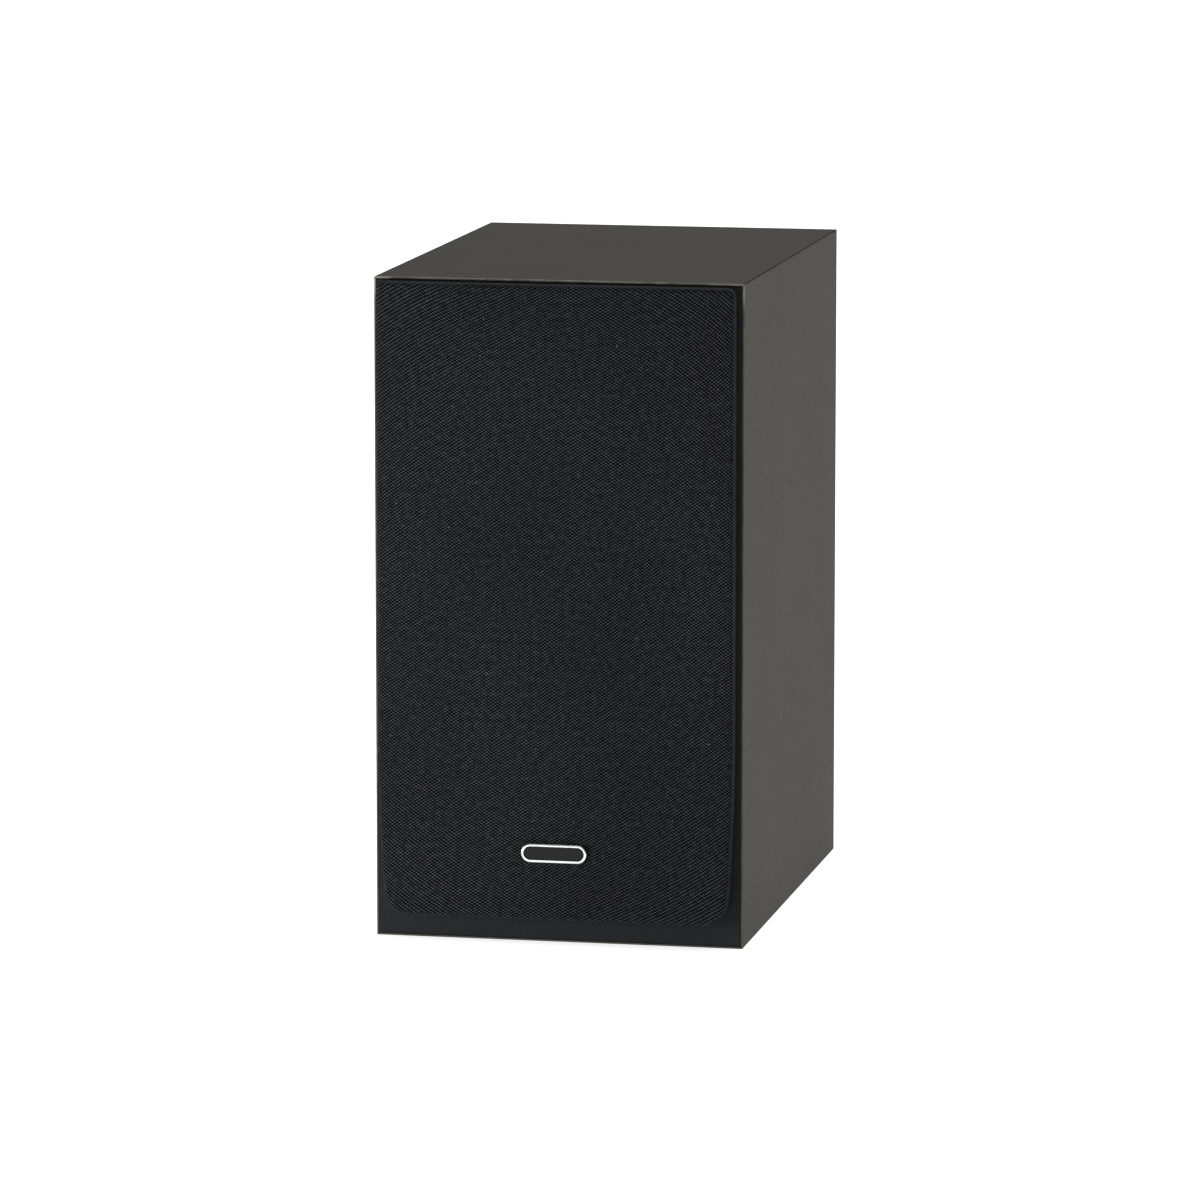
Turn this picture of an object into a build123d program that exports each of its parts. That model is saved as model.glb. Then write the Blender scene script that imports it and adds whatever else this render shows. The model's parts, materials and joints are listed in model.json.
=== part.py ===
"""A two-way bass-reflex bookshelf speaker, built as it comes apart on a bench.

Millimetres, +Z up. X runs across the front, -Y is the way the speaker faces.
The origin is on the underside, at the middle of the cabinet.
"""

import os
from math import asin, cos, pi, radians, sin

from build123d import *

os.makedirs("parts", exist_ok=True)

# ---------------------------------------------------------------- driving dimensions
WIDTH = 168.5
HEIGHT = 300.0
DEPTH = 245.0
BOARD = 15.0  # thickness of every cabinet board
LIP = 0.8  # laminate edge that frames the front baffle
REAR_LIP = 6.0  # board edge that frames the back panel
FRONT = -DEPTH / 2  # the baffle's face
BACK = DEPTH / 2  # the back panel's face
INSIDE_X = WIDTH / 2 - BOARD
INSIDE_FRONT = FRONT + BOARD
INSIDE_BACK = BACK - BOARD

WOOFER_Z = 97.0
TWEETER_Z = 228.0
PORT_Z = 218.0
TERMINAL_Z = 70.0
SCREW_CLEARANCE = 0.1  # radial, round every screw shank
MIRROR_SIDES = (-1, 1)

WOOFER_R = 70.5
WOOFER_REBATE = 5.2
WOOFER_GASKET = 0.6
WOOFER_CUTOUT_R = 61.2
WOOFER_SCREW_R = 66.5
WOOFER_SCREWS = 6

TWEETER_R = 49.0
TWEETER_REBATE = 3.5
TWEETER_GASKET = 0.5
TWEETER_CUTOUT_R = 37.0
TWEETER_SCREW_R = 43.5
TWEETER_SCREWS = 4

GRILLE_T = 10.0  # how far the grille stands in front of the baffle
GRILLE_GAP = 0.3
CLOTH = 0.8
CLOTH_GAP = 0.1
PEG_R = 3.0
PEG_PLACES = [(s * x, z) for s in MIRROR_SIDES for x, z in ((70, 286), (73, 172), (69, 24))]
SOCKET_R = 4.5
SOCKET_DEPTH = 12.0

BADGE_Z = 42.5
BADGE_LENGTH = 30.0
BADGE_HEIGHT = 8.5

CUP_WIDTH = 74.0
CUP_HEIGHT = 54.0
CUP_DEPTH = 22.0
CUP_WALL = 2.5
CUP_FLOOR = BACK - CUP_DEPTH  # the face that the binding posts stand on
POST_SPACING = 19.05
BANANA_R = 2.0
POST_R = 3.0

BRACE_BOTTOM = 175.0
BRACE_T = 10.0
CIRCUIT_Z = BOARD + 8.0  # underside of the crossover board
CIRCUIT_T = 1.6


# ---------------------------------------------------------------- planes and helpers
def facing_front(y):
    """A plane at depth y whose sketch shows X across and Z up; extruding by a plus amount comes forward."""
    return Plane(origin=(0, y, 0), x_dir=(1, 0, 0), z_dir=(0, -1, 0))


def section(x, y, z):
    """A plane for the half section of a turned piece: radius across, depth towards the back."""
    return Plane(origin=(x, y, z), x_dir=(1, 0, 0), z_dir=(0, 0, 1))


def axle(x, y, z):
    """The front-to-back axis of a turned piece."""
    return Axis((x, y, z), (0, 1, 0))


WOOFER_PLANE = section(0, FRONT, WOOFER_Z)
WOOFER_AXIS = axle(0, FRONT, WOOFER_Z)
TWEETER_PLANE = section(0, FRONT, TWEETER_Z)
TWEETER_AXIS = axle(0, FRONT, TWEETER_Z)


def turned(plane, axis, points):
    """A solid of revolution from the corners of its half section."""
    with BuildPart() as piece:
        with BuildSketch(plane):
            with BuildLine():
                Polyline(*points, close=True)
            make_face()
        revolve(axis=axis)
    return piece


def domed_shell(plane, axis, rim_r, rise, seat, wall):
    """A thin cap cut from a sphere: its rim at depth seat, its crown rise in front of that."""
    ball_r = (rim_r**2 + rise**2) / (2 * rise)
    centre = seat - rise + ball_r
    half = asin(rim_r / ball_r)
    corners = [
        [(r * sin(half * part), centre - r * cos(half * part)) for part in (0, 0.5, 1)]
        for r in (ball_r, ball_r - wall)
    ]
    outer, inner = corners
    with BuildPart() as shell:
        with BuildSketch(plane):
            with BuildLine():
                ThreePointArc(*outer)
                Line(outer[-1], inner[-1])
                ThreePointArc(*reversed(inner))
                Line(inner[0], outer[0])
            make_face()
        revolve(axis=axis)
    return shell


def bored(piece, plane, places, radius, depth):
    """The piece with straight round holes, sunk towards the back from a facing_front plane."""
    with BuildPart() as drilled:
        add(piece.part)
        with BuildSketch(plane):
            with Locations(*places):
                Circle(radius)
        extrude(amount=-depth, mode=Mode.SUBTRACT)
    return drilled


def ring_places(z, radius, count, start):
    """Points evenly spaced on a circle round (0, z) in a facing_front sketch."""
    return [
        (
            radius * cos(radians(start + 360 * i / count)),
            z + radius * sin(radians(start + 360 * i / count)),
        )
        for i in range(count)
    ]


def pan_screws(places, seat_y, head_r, head_t, shank_r, length, drive_r):
    """Identical pan-head screws pointing backwards, their heads seated on the plane y = seat_y."""
    with BuildPart() as screws:
        for x, z in places:
            with BuildSketch(section(x, seat_y, z)):
                with BuildLine():
                    Polyline(
                        (0, -head_t),
                        (head_r * 0.8, -head_t),
                        (head_r, -head_t * 0.5),
                        (head_r, 0),
                        (shank_r, 0),
                        (shank_r, length - shank_r),
                        (0, length),
                        close=True,
                    )
                make_face()
            revolve(axis=axle(x, seat_y, z))
        with BuildSketch(facing_front(seat_y - head_t)):
            with Locations(*places):
                RegularPolygon(drive_r, 6)
        extrude(amount=-head_t * 0.6, mode=Mode.SUBTRACT)
    return screws


WOOFER_SCREW_PLACES = ring_places(WOOFER_Z, WOOFER_SCREW_R, WOOFER_SCREWS, 0)
TWEETER_SCREW_PLACES = ring_places(TWEETER_Z, TWEETER_SCREW_R, TWEETER_SCREWS, 45)


# ---------------------------------------------------------------- cabinet
SEAM_R = 0.15  # softness of the folded laminate edge where two boards meet
FRONT_EDGE_R = 0.35


def case_board(corners, outer):
    """One mitred board of the case, from its trapezoid end, rebated for the baffle and the back panel."""
    with BuildPart() as board:
        with BuildSketch(facing_front(FRONT)):
            with BuildLine():
                Polyline(*corners, close=True)
            make_face()
        extrude(amount=-DEPTH)
        skin = board.faces().sort_by(outer)[-1]
        long_edges = skin.edges().filter_by(Axis.Y)
        fillet(long_edges, radius=SEAM_R)
        skin = board.faces().filter_by(GeomType.PLANE).sort_by(outer)[-1]
        fillet(skin.edges().sort_by(Axis.Y)[0], radius=FRONT_EDGE_R)
        with BuildSketch(facing_front(FRONT)):
            with Locations((0, HEIGHT / 2)):
                Rectangle(WIDTH - 2 * LIP, HEIGHT - 2 * LIP)
        extrude(amount=-BOARD, mode=Mode.SUBTRACT)
        with BuildSketch(facing_front(BACK)):
            with Locations((0, HEIGHT / 2)):
                Rectangle(WIDTH - 2 * REAR_LIP, HEIGHT - 2 * REAR_LIP)
        extrude(amount=BOARD, mode=Mode.SUBTRACT)
    return board


def side_board(side):
    """The left (-1) or right (+1) side of the case."""
    outer_x, inner_x = side * WIDTH / 2, side * INSIDE_X
    corners = [(outer_x, 0), (outer_x, HEIGHT), (inner_x, HEIGHT - BOARD), (inner_x, BOARD)]
    return case_board(corners, Axis((0, 0, 0), (side, 0, 0)))


left_side_panel = side_board(-1)
right_side_panel = side_board(1)
top_panel = case_board(
    [
        (-WIDTH / 2, HEIGHT),
        (WIDTH / 2, HEIGHT),
        (INSIDE_X, HEIGHT - BOARD),
        (-INSIDE_X, HEIGHT - BOARD),
    ],
    Axis.Z,
)
bottom_panel = case_board(
    [(-WIDTH / 2, 0), (WIDTH / 2, 0), (INSIDE_X, BOARD), (-INSIDE_X, BOARD)],
    Axis((0, 0, 0), (0, 0, -1)),
)

BAFFLE_EDGE_R = 1.0
WOOFER_PILOT_DEPTH = 14.0
TWEETER_PILOT_DEPTH = 13.0
WOOFER_SHANK_R = 1.9
TWEETER_SHANK_R = 1.6

with BuildPart() as front_baffle:
    with BuildSketch(facing_front(FRONT)):
        with Locations((0, HEIGHT / 2)):
            Rectangle(WIDTH - 2 * LIP, HEIGHT - 2 * LIP)
    extrude(amount=-BOARD)
    fillet(front_baffle.faces().sort_by(Axis.Y)[0].edges(), radius=BAFFLE_EDGE_R)
    for centre_z, rebate_r, rebate, cutout_r in (
        (WOOFER_Z, WOOFER_R + 0.5, WOOFER_REBATE, WOOFER_CUTOUT_R),
        (TWEETER_Z, TWEETER_R + 0.4, TWEETER_REBATE, TWEETER_CUTOUT_R),
    ):
        with BuildSketch(facing_front(FRONT)):
            with Locations((0, centre_z)):
                Circle(rebate_r)
        extrude(amount=-rebate, mode=Mode.SUBTRACT)
        with BuildSketch(facing_front(FRONT)):
            with Locations((0, centre_z)):
                Circle(cutout_r)
        extrude(amount=-BOARD, mode=Mode.SUBTRACT)
    with BuildSketch(facing_front(FRONT)):
        with Locations(*PEG_PLACES):
            Circle(SOCKET_R)
    extrude(amount=-SOCKET_DEPTH, mode=Mode.SUBTRACT)
    with BuildSketch(facing_front(FRONT)):
        with Locations(*WOOFER_SCREW_PLACES):
            Circle(WOOFER_SHANK_R + SCREW_CLEARANCE)
    extrude(amount=-WOOFER_PILOT_DEPTH, mode=Mode.SUBTRACT)
    with BuildSketch(facing_front(FRONT)):
        with Locations(*TWEETER_SCREW_PLACES):
            Circle(TWEETER_SHANK_R + SCREW_CLEARANCE)
    extrude(amount=-TWEETER_PILOT_DEPTH, mode=Mode.SUBTRACT)

PORT_HOLE_R = 34.5
CUP_FLANGE_W = 96.0
CUP_FLANGE_H = 76.0
CUP_FLANGE_T = 2.5
CUP_GASKET = 1.0
CUP_SCREW_R = 1.4
CUP_SCREW_PLACES = [
    (sx * (CUP_FLANGE_W / 2 - 6), TERMINAL_Z + sz * (CUP_FLANGE_H / 2 - 6))
    for sx in MIRROR_SIDES
    for sz in MIRROR_SIDES
]
CUP_CLEARANCE = 0.5

with BuildPart() as back_panel:
    with BuildSketch(facing_front(BACK)):
        with Locations((0, HEIGHT / 2)):
            Rectangle(WIDTH - 2 * REAR_LIP, HEIGHT - 2 * REAR_LIP)
        with Locations((0, TERMINAL_Z)):
            Rectangle(CUP_WIDTH + 2 * CUP_CLEARANCE, CUP_HEIGHT + 2 * CUP_CLEARANCE, mode=Mode.SUBTRACT)
        with Locations((0, PORT_Z)):
            Circle(PORT_HOLE_R, mode=Mode.SUBTRACT)
        with Locations(*CUP_SCREW_PLACES):
            Circle(CUP_SCREW_R + SCREW_CLEARANCE, mode=Mode.SUBTRACT)
    extrude(amount=BOARD)

BRACE_WINDOW_X = 96.0
BRACE_WINDOW_Y = 84.0
BRACE_DEPTH = INSIDE_BACK - INSIDE_FRONT

with BuildPart() as window_brace:
    with BuildSketch(Plane.XY.offset(BRACE_BOTTOM)):
        Rectangle(2 * INSIDE_X, BRACE_DEPTH)
        with Locations(*[(0, s * BRACE_DEPTH / 4) for s in MIRROR_SIDES]):
            RectangleRounded(BRACE_WINDOW_X, BRACE_WINDOW_Y, 3, mode=Mode.SUBTRACT)
    extrude(amount=BRACE_T)

LINING_T = 12.0
LINING_TOP = 170.0
LINING_FRONT = -48.0

with BuildPart() as side_linings:
    for side in MIRROR_SIDES:
        with Locations((side * (INSIDE_X - LINING_T / 2), (LINING_FRONT + 100) / 2, (18 + LINING_TOP) / 2)):
            Box(LINING_T, 100 - LINING_FRONT, LINING_TOP - 18)

with BuildPart() as top_lining:
    with Locations((0, 16, HEIGHT - BOARD - LINING_T / 2)):
        Box(116, 150, LINING_T)


# ---------------------------------------------------------------- woofer, depths measured from the baffle's face
WOOFER_FLANGE = WOOFER_REBATE - WOOFER_GASKET
SURROUND_SEAT = 2.4
SURROUND_T = 0.8
SURROUND_IN_R = 50.0
SURROUND_OUT_R = 58.5
ROLL_RISE = 3.6
LEDGE_R = 40.5
SPIDER_DEPTH = 30.2
SPIDER_T = 0.6
MAGNET_SEAT = 44.0
FORMER_R = 12.7
FORMER_T = 0.25
COIL_OUT_R = 13.75
WINDOW_WIDTH = 37.0
WINDOW_IN_R = 45.5

basket_turned = turned(
    WOOFER_PLANE,
    WOOFER_AXIS,
    [
        (62.5, 0),
        (WOOFER_R - 0.4, 0),
        (WOOFER_R, 0.4),
        (WOOFER_R, WOOFER_FLANGE),
        (60.6, WOOFER_FLANGE),
        (60.6, 9),
        (47, 31),
        (47, 36),
        (39.5, MAGNET_SEAT),
        (15.2, MAGNET_SEAT),
        (15.2, 40.5),
        (38.2, 40.5),
        (44, 34.5),
        (44, 33),
        (LEDGE_R, 33),
        (LEDGE_R, SPIDER_DEPTH + SPIDER_T),
        (44.4, SPIDER_DEPTH + SPIDER_T),
        (57.6, 9),
        (57.6, SURROUND_SEAT),
        (62.5, SURROUND_SEAT),
    ],
)

with BuildPart() as woofer_basket:
    add(basket_turned.part)
    with BuildSketch(facing_front(FRONT + 11)):
        with Locations((0, WOOFER_Z)):
            with PolarLocations(WINDOW_IN_R, 6, start_angle=30):
                Rectangle(48, WINDOW_WIDTH)
            Circle(WINDOW_IN_R, mode=Mode.SUBTRACT)
    extrude(amount=-28.5, mode=Mode.SUBTRACT)
    with BuildSketch(facing_front(FRONT)):
        with Locations(*WOOFER_SCREW_PLACES):
            Circle(3.45)
    extrude(amount=-1.6, mode=Mode.SUBTRACT)
    with BuildSketch(facing_front(FRONT)):
        with Locations(*WOOFER_SCREW_PLACES):
            Circle(WOOFER_SHANK_R + SCREW_CLEARANCE)
    extrude(amount=-WOOFER_FLANGE, mode=Mode.SUBTRACT)

woofer_gasket = bored(
    turned(
        WOOFER_PLANE,
        WOOFER_AXIS,
        [
            (62, WOOFER_FLANGE),
            (WOOFER_R, WOOFER_FLANGE),
            (WOOFER_R, WOOFER_REBATE),
            (62, WOOFER_REBATE),
        ],
    ),
    facing_front(FRONT),
    WOOFER_SCREW_PLACES,
    WOOFER_SHANK_R + SCREW_CLEARANCE,
    WOOFER_REBATE,
)
woofer_screws = pan_screws(WOOFER_SCREW_PLACES, FRONT + 1.6, 3.2, 1.8, WOOFER_SHANK_R, 12, 1.5)

with BuildPart() as woofer_surround:
    with BuildSketch(WOOFER_PLANE):
        with BuildLine():
            Polyline(
                (SURROUND_OUT_R, SURROUND_SEAT - SURROUND_T),
                (62.3, SURROUND_SEAT - SURROUND_T),
                (62.3, SURROUND_SEAT),
                (SURROUND_OUT_R, SURROUND_SEAT),
            )
            ThreePointArc(
                (SURROUND_OUT_R, SURROUND_SEAT),
                ((SURROUND_IN_R + SURROUND_OUT_R) / 2, SURROUND_SEAT - ROLL_RISE + SURROUND_T),
                (SURROUND_IN_R, SURROUND_SEAT),
            )
            Polyline(
                (SURROUND_IN_R, SURROUND_SEAT),
                (46, SURROUND_SEAT),
                (46, SURROUND_SEAT - SURROUND_T),
                (SURROUND_IN_R, SURROUND_SEAT - SURROUND_T),
            )
            ThreePointArc(
                (SURROUND_IN_R, SURROUND_SEAT - SURROUND_T),
                ((SURROUND_IN_R + SURROUND_OUT_R) / 2, SURROUND_SEAT - ROLL_RISE),
                (SURROUND_OUT_R, SURROUND_SEAT - SURROUND_T),
            )
        make_face()
    revolve(axis=WOOFER_AXIS)

CONE_T = 0.8
CONE_NECK_DEPTH = 26.0
CONE_NECK_R = FORMER_R + FORMER_T
CONE_RIM = 50.0
CAP_R = 21.0
CAP_DEPTH = 20.2
CAP_RISE = 7.5
CAP_T = 0.5

with BuildPart() as woofer_cone:
    with BuildSketch(WOOFER_PLANE):
        with BuildLine():
            Line((46, SURROUND_SEAT), (CONE_RIM, SURROUND_SEAT))
            Line((CONE_RIM, SURROUND_SEAT), (CONE_RIM, SURROUND_SEAT + CONE_T))
            Line((CONE_RIM, SURROUND_SEAT + CONE_T), (46.4, SURROUND_SEAT + CONE_T))
            Spline(
                (46.4, SURROUND_SEAT + CONE_T),
                (30, 16.4),
                (CONE_NECK_R + 0.9, CONE_NECK_DEPTH),
            )
            Line((CONE_NECK_R + 0.9, CONE_NECK_DEPTH), (CONE_NECK_R, CONE_NECK_DEPTH))
            Line((CONE_NECK_R, CONE_NECK_DEPTH), (CONE_NECK_R, CONE_NECK_DEPTH - 1))
            Spline(
                (CONE_NECK_R, CONE_NECK_DEPTH - 1),
                (29.6, 15.6),
                (46, SURROUND_SEAT),
            )
        make_face()
    revolve(axis=WOOFER_AXIS)

woofer_dust_cap = domed_shell(WOOFER_PLANE, WOOFER_AXIS, CAP_R, CAP_RISE, CAP_DEPTH, CAP_T)

woofer_former = turned(
    WOOFER_PLANE,
    WOOFER_AXIS,
    [(FORMER_R, 23.5), (FORMER_R + FORMER_T, 23.5), (FORMER_R + FORMER_T, 52.5), (FORMER_R, 52.5)],
)
woofer_voice_coil = turned(
    WOOFER_PLANE,
    WOOFER_AXIS,
    [(FORMER_R + FORMER_T, 40.5), (COIL_OUT_R, 40.5), (COIL_OUT_R, 52.5), (FORMER_R + FORMER_T, 52.5)],
)

SPIDER_WAVES = 5
SPIDER_IN_R = CONE_NECK_R
SPIDER_FLAT_IN = 16.0
SPIDER_FLAT_OUT = 40.0
SPIDER_OUT_R = 44.0
SPIDER_WAVE = 1.2


def spider_wave(shift):
    """Points of the spider's corrugation, from its inner flat to its outer one, moved along the axis by shift."""
    steps = SPIDER_WAVES * 4
    return [
        (
            SPIDER_FLAT_IN + (SPIDER_FLAT_OUT - SPIDER_FLAT_IN) * i / steps,
            SPIDER_DEPTH + shift - SPIDER_WAVE * sin(2 * pi * SPIDER_WAVES * i / steps),
        )
        for i in range(steps + 1)
    ]


with BuildPart() as woofer_spider:
    with BuildSketch(WOOFER_PLANE):
        with BuildLine():
            Polyline(
                (SPIDER_FLAT_IN, SPIDER_DEPTH + SPIDER_T),
                (SPIDER_IN_R, SPIDER_DEPTH + SPIDER_T),
                (SPIDER_IN_R, SPIDER_DEPTH),
                (SPIDER_FLAT_IN, SPIDER_DEPTH),
            )
            Spline(*spider_wave(0))
            Polyline(
                (SPIDER_FLAT_OUT, SPIDER_DEPTH),
                (SPIDER_OUT_R, SPIDER_DEPTH),
                (SPIDER_OUT_R, SPIDER_DEPTH + SPIDER_T),
                (SPIDER_FLAT_OUT, SPIDER_DEPTH + SPIDER_T),
            )
            Spline(*reversed(spider_wave(SPIDER_T)))
        make_face()
    revolve(axis=WOOFER_AXIS)

WOOFER_PLATE = 5.0
WOOFER_MAGNET = 15.0
MAGNET_FRONT = MAGNET_SEAT + WOOFER_PLATE
MAGNET_BACK = MAGNET_FRONT + WOOFER_MAGNET
POLE_R = 12.2
VENT_R = 4.0

woofer_top_plate = turned(
    WOOFER_PLANE,
    WOOFER_AXIS,
    [(14.3, MAGNET_SEAT), (37, MAGNET_SEAT), (37, MAGNET_FRONT), (14.3, MAGNET_FRONT)],
)
woofer_magnet = turned(
    WOOFER_PLANE,
    WOOFER_AXIS,
    [
        (22, MAGNET_FRONT),
        (41.2, MAGNET_FRONT),
        (42, MAGNET_FRONT + 0.8),
        (42, MAGNET_BACK - 0.8),
        (41.2, MAGNET_BACK),
        (22, MAGNET_BACK),
    ],
)
woofer_yoke = turned(
    WOOFER_PLANE,
    WOOFER_AXIS,
    [
        (VENT_R, MAGNET_SEAT - 0.5),
        (POLE_R, MAGNET_SEAT - 0.5),
        (POLE_R, MAGNET_BACK),
        (37, MAGNET_BACK),
        (37, MAGNET_BACK + 4),
        (36, MAGNET_BACK + 5),
        (VENT_R + 2, MAGNET_BACK + 5),
        (VENT_R, MAGNET_BACK + 3),
    ],
)

TAB_HALF_GAP = 6.0
TAG_BOARD_DEPTH = 33.2
WOOFER_TAB_Z = WOOFER_Z + 64.0

with BuildPart() as woofer_terminals:
    with BuildSketch(facing_front(FRONT + TAG_BOARD_DEPTH)):
        with Locations((0, WOOFER_Z + 51)):
            Rectangle(22, 11)
    extrude(amount=-2)
    with BuildSketch(facing_front(FRONT + TAG_BOARD_DEPTH + 2)):
        with Locations(*[(s * TAB_HALF_GAP, WOOFER_Z + 57) for s in MIRROR_SIDES]):
            Rectangle(4.8, 14)
    extrude(amount=-0.8)

LEAD_R = 0.7

with BuildPart() as woofer_tinsel_leads:
    for side in MIRROR_SIDES:
        x = side * TAB_HALF_GAP
        with BuildLine():
            FilletPolyline(
                (x, FRONT + TAG_BOARD_DEPTH, WOOFER_Z + 48.5),
                (x, FRONT + 25, WOOFER_Z + 48.5),
                (x, FRONT + 24.2, WOOFER_Z + 36),
                (x, FRONT + 19.6, WOOFER_Z + 27),
                radius=3,
            )
        with BuildSketch(Plane(origin=(x, FRONT + TAG_BOARD_DEPTH, WOOFER_Z + 48.5), z_dir=(0, -1, 0))):
            Circle(LEAD_R)
        sweep()


# ---------------------------------------------------------------- tweeter, depths measured from the baffle's face
TWEETER_FLANGE = TWEETER_REBATE - TWEETER_GASKET
HUB_R = 36.2
HUB_DEPTH = 8.0
THROAT_R = 17.0
DOME_R = 12.7
DOME_SEAT = 6.6
DOME_RISE = 5.0
DOME_T = 0.3
GUARD_SEAT_R = 19.2

with BuildPart() as tweeter_faceplate:
    with BuildSketch(TWEETER_PLANE):
        with BuildLine():
            Polyline(
                (40, 0),
                (TWEETER_R - 0.4, 0),
                (TWEETER_R, 0.4),
                (TWEETER_R, TWEETER_FLANGE),
                (HUB_R, TWEETER_FLANGE),
                (HUB_R, HUB_DEPTH),
                (20, HUB_DEPTH),
                (20, DOME_SEAT),
                (THROAT_R, DOME_SEAT),
                (THROAT_R, 4.2),
                (GUARD_SEAT_R, 4.2),
                (GUARD_SEAT_R, 3.3),
            )
            ThreePointArc((GUARD_SEAT_R, 3.3), (27, 0.95), (40, 0))
        make_face()
    revolve(axis=TWEETER_AXIS)
    with BuildSketch(facing_front(FRONT)):
        with Locations(*TWEETER_SCREW_PLACES):
            Circle(3.2)
    extrude(amount=-1.4, mode=Mode.SUBTRACT)
    with BuildSketch(facing_front(FRONT)):
        with Locations(*TWEETER_SCREW_PLACES):
            Circle(TWEETER_SHANK_R + SCREW_CLEARANCE)
    extrude(amount=-TWEETER_FLANGE, mode=Mode.SUBTRACT)

tweeter_gasket = bored(
    turned(
        TWEETER_PLANE,
        TWEETER_AXIS,
        [
            (37.5, TWEETER_FLANGE),
            (TWEETER_R, TWEETER_FLANGE),
            (TWEETER_R, TWEETER_REBATE),
            (37.5, TWEETER_REBATE),
        ],
    ),
    facing_front(FRONT),
    TWEETER_SCREW_PLACES,
    TWEETER_SHANK_R + SCREW_CLEARANCE,
    TWEETER_REBATE,
)
tweeter_screws = pan_screws(TWEETER_SCREW_PLACES, FRONT + 1.4, 2.9, 1.6, TWEETER_SHANK_R, 11, 1.3)

GUARD_TOP = -0.6
GUARD_T = 0.9
SPOKE_WIDTH = 2.0
GUARD_SPOKES = 3

with BuildPart() as tweeter_dome_guard:
    with BuildSketch(TWEETER_PLANE):
        with BuildLine():
            Line((0, GUARD_TOP), (4, GUARD_TOP))
            ThreePointArc((4, GUARD_TOP), (13.5, 0.55), (GUARD_SEAT_R - 0.1, 4.2))
            Line((GUARD_SEAT_R - 0.1, 4.2), (THROAT_R + 0.2, 4.2))
            ThreePointArc((THROAT_R + 0.2, 4.2), (12.8, 1.45), (4, GUARD_TOP + GUARD_T))
            Line((4, GUARD_TOP + GUARD_T), (0, GUARD_TOP + GUARD_T))
            Line((0, GUARD_TOP + GUARD_T), (0, GUARD_TOP))
        make_face()
    revolve(axis=TWEETER_AXIS)
    with BuildSketch(facing_front(FRONT + HUB_DEPTH)):
        with Locations((0, TWEETER_Z)):
            Circle(4.5)
            with PolarLocations(10, GUARD_SPOKES, start_angle=90):
                Rectangle(20, SPOKE_WIDTH)
            Circle(GUARD_SEAT_R)
            Circle(THROAT_R + 0.2, mode=Mode.SUBTRACT)
            with PolarLocations(10, GUARD_SPOKES, start_angle=90):
                Rectangle(20, SPOKE_WIDTH)
            Circle(4.5)
    extrude(amount=HUB_DEPTH + 4, mode=Mode.INTERSECT)

tweeter_dome = domed_shell(TWEETER_PLANE, TWEETER_AXIS, DOME_R, DOME_RISE, DOME_SEAT, DOME_T)

with BuildPart() as tweeter_surround:
    with BuildSketch(TWEETER_PLANE):
        with BuildLine():
            ThreePointArc((DOME_R + 0.1, DOME_SEAT), (14.7, 4.9), (16.5, DOME_SEAT))
            Polyline(
                (16.5, DOME_SEAT),
                (19.6, DOME_SEAT),
                (19.6, DOME_SEAT + 0.4),
                (16.5, DOME_SEAT + 0.4),
            )
            ThreePointArc((16.5, DOME_SEAT + 0.4), (14.7, 5.3), (DOME_R + 0.1, DOME_SEAT + 0.4))
            Line((DOME_R + 0.1, DOME_SEAT + 0.4), (DOME_R + 0.1, DOME_SEAT))
        make_face()
    revolve(axis=TWEETER_AXIS)

TWEETER_PLATE_BACK = 11.0
TWEETER_MAGNET_BACK = 19.0
TWEETER_YOKE_BACK = 23.0
REAR_CUP_R = 21.0

tweeter_voice_coil = turned(
    TWEETER_PLANE,
    TWEETER_AXIS,
    [
        (DOME_R - 0.3, DOME_SEAT + 0.3),
        (DOME_R, DOME_SEAT + 0.3),
        (DOME_R, 8.2),
        (DOME_R + 0.5, 8.2),
        (DOME_R + 0.5, 10.8),
        (DOME_R - 0.3, 10.8),
    ],
)
tweeter_top_plate = turned(
    TWEETER_PLANE,
    TWEETER_AXIS,
    [(13.8, HUB_DEPTH), (31, HUB_DEPTH), (31, TWEETER_PLATE_BACK), (13.8, TWEETER_PLATE_BACK)],
)
tweeter_magnet = turned(
    TWEETER_PLANE,
    TWEETER_AXIS,
    [
        (18, TWEETER_PLATE_BACK),
        (33.5, TWEETER_PLATE_BACK),
        (34, TWEETER_PLATE_BACK + 0.5),
        (34, TWEETER_MAGNET_BACK - 0.5),
        (33.5, TWEETER_MAGNET_BACK),
        (18, TWEETER_MAGNET_BACK),
    ],
)
tweeter_yoke = turned(
    TWEETER_PLANE,
    TWEETER_AXIS,
    [
        (3.5, HUB_DEPTH),
        (11.9, HUB_DEPTH),
        (11.9, TWEETER_MAGNET_BACK),
        (31, TWEETER_MAGNET_BACK),
        (31, TWEETER_YOKE_BACK),
        (3.5, TWEETER_YOKE_BACK),
    ],
)
tweeter_rear_cup = turned(
    TWEETER_PLANE,
    TWEETER_AXIS,
    [
        (REAR_CUP_R, TWEETER_YOKE_BACK),
        (REAR_CUP_R, 36),
        (REAR_CUP_R - 2, 38),
        (0, 38),
        (0, 36),
        (REAR_CUP_R - 2.4, 36),
        (REAR_CUP_R - 2.4, TWEETER_YOKE_BACK),
    ],
)

TWEETER_TAB_Z = TWEETER_Z - 26.0
TWEETER_TAB_BACK = FRONT + TWEETER_YOKE_BACK + 11

with BuildPart() as tweeter_terminals:
    with BuildSketch(facing_front(FRONT + TWEETER_YOKE_BACK)):
        with Locations((0, TWEETER_TAB_Z)):
            Rectangle(18, 7)
    extrude(amount=-3)
    with BuildSketch(facing_front(FRONT + TWEETER_YOKE_BACK + 3)):
        with Locations(*[(s * 5, TWEETER_TAB_Z) for s in MIRROR_SIDES]):
            Rectangle(0.8, 4.8)
    extrude(amount=-8)


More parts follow.
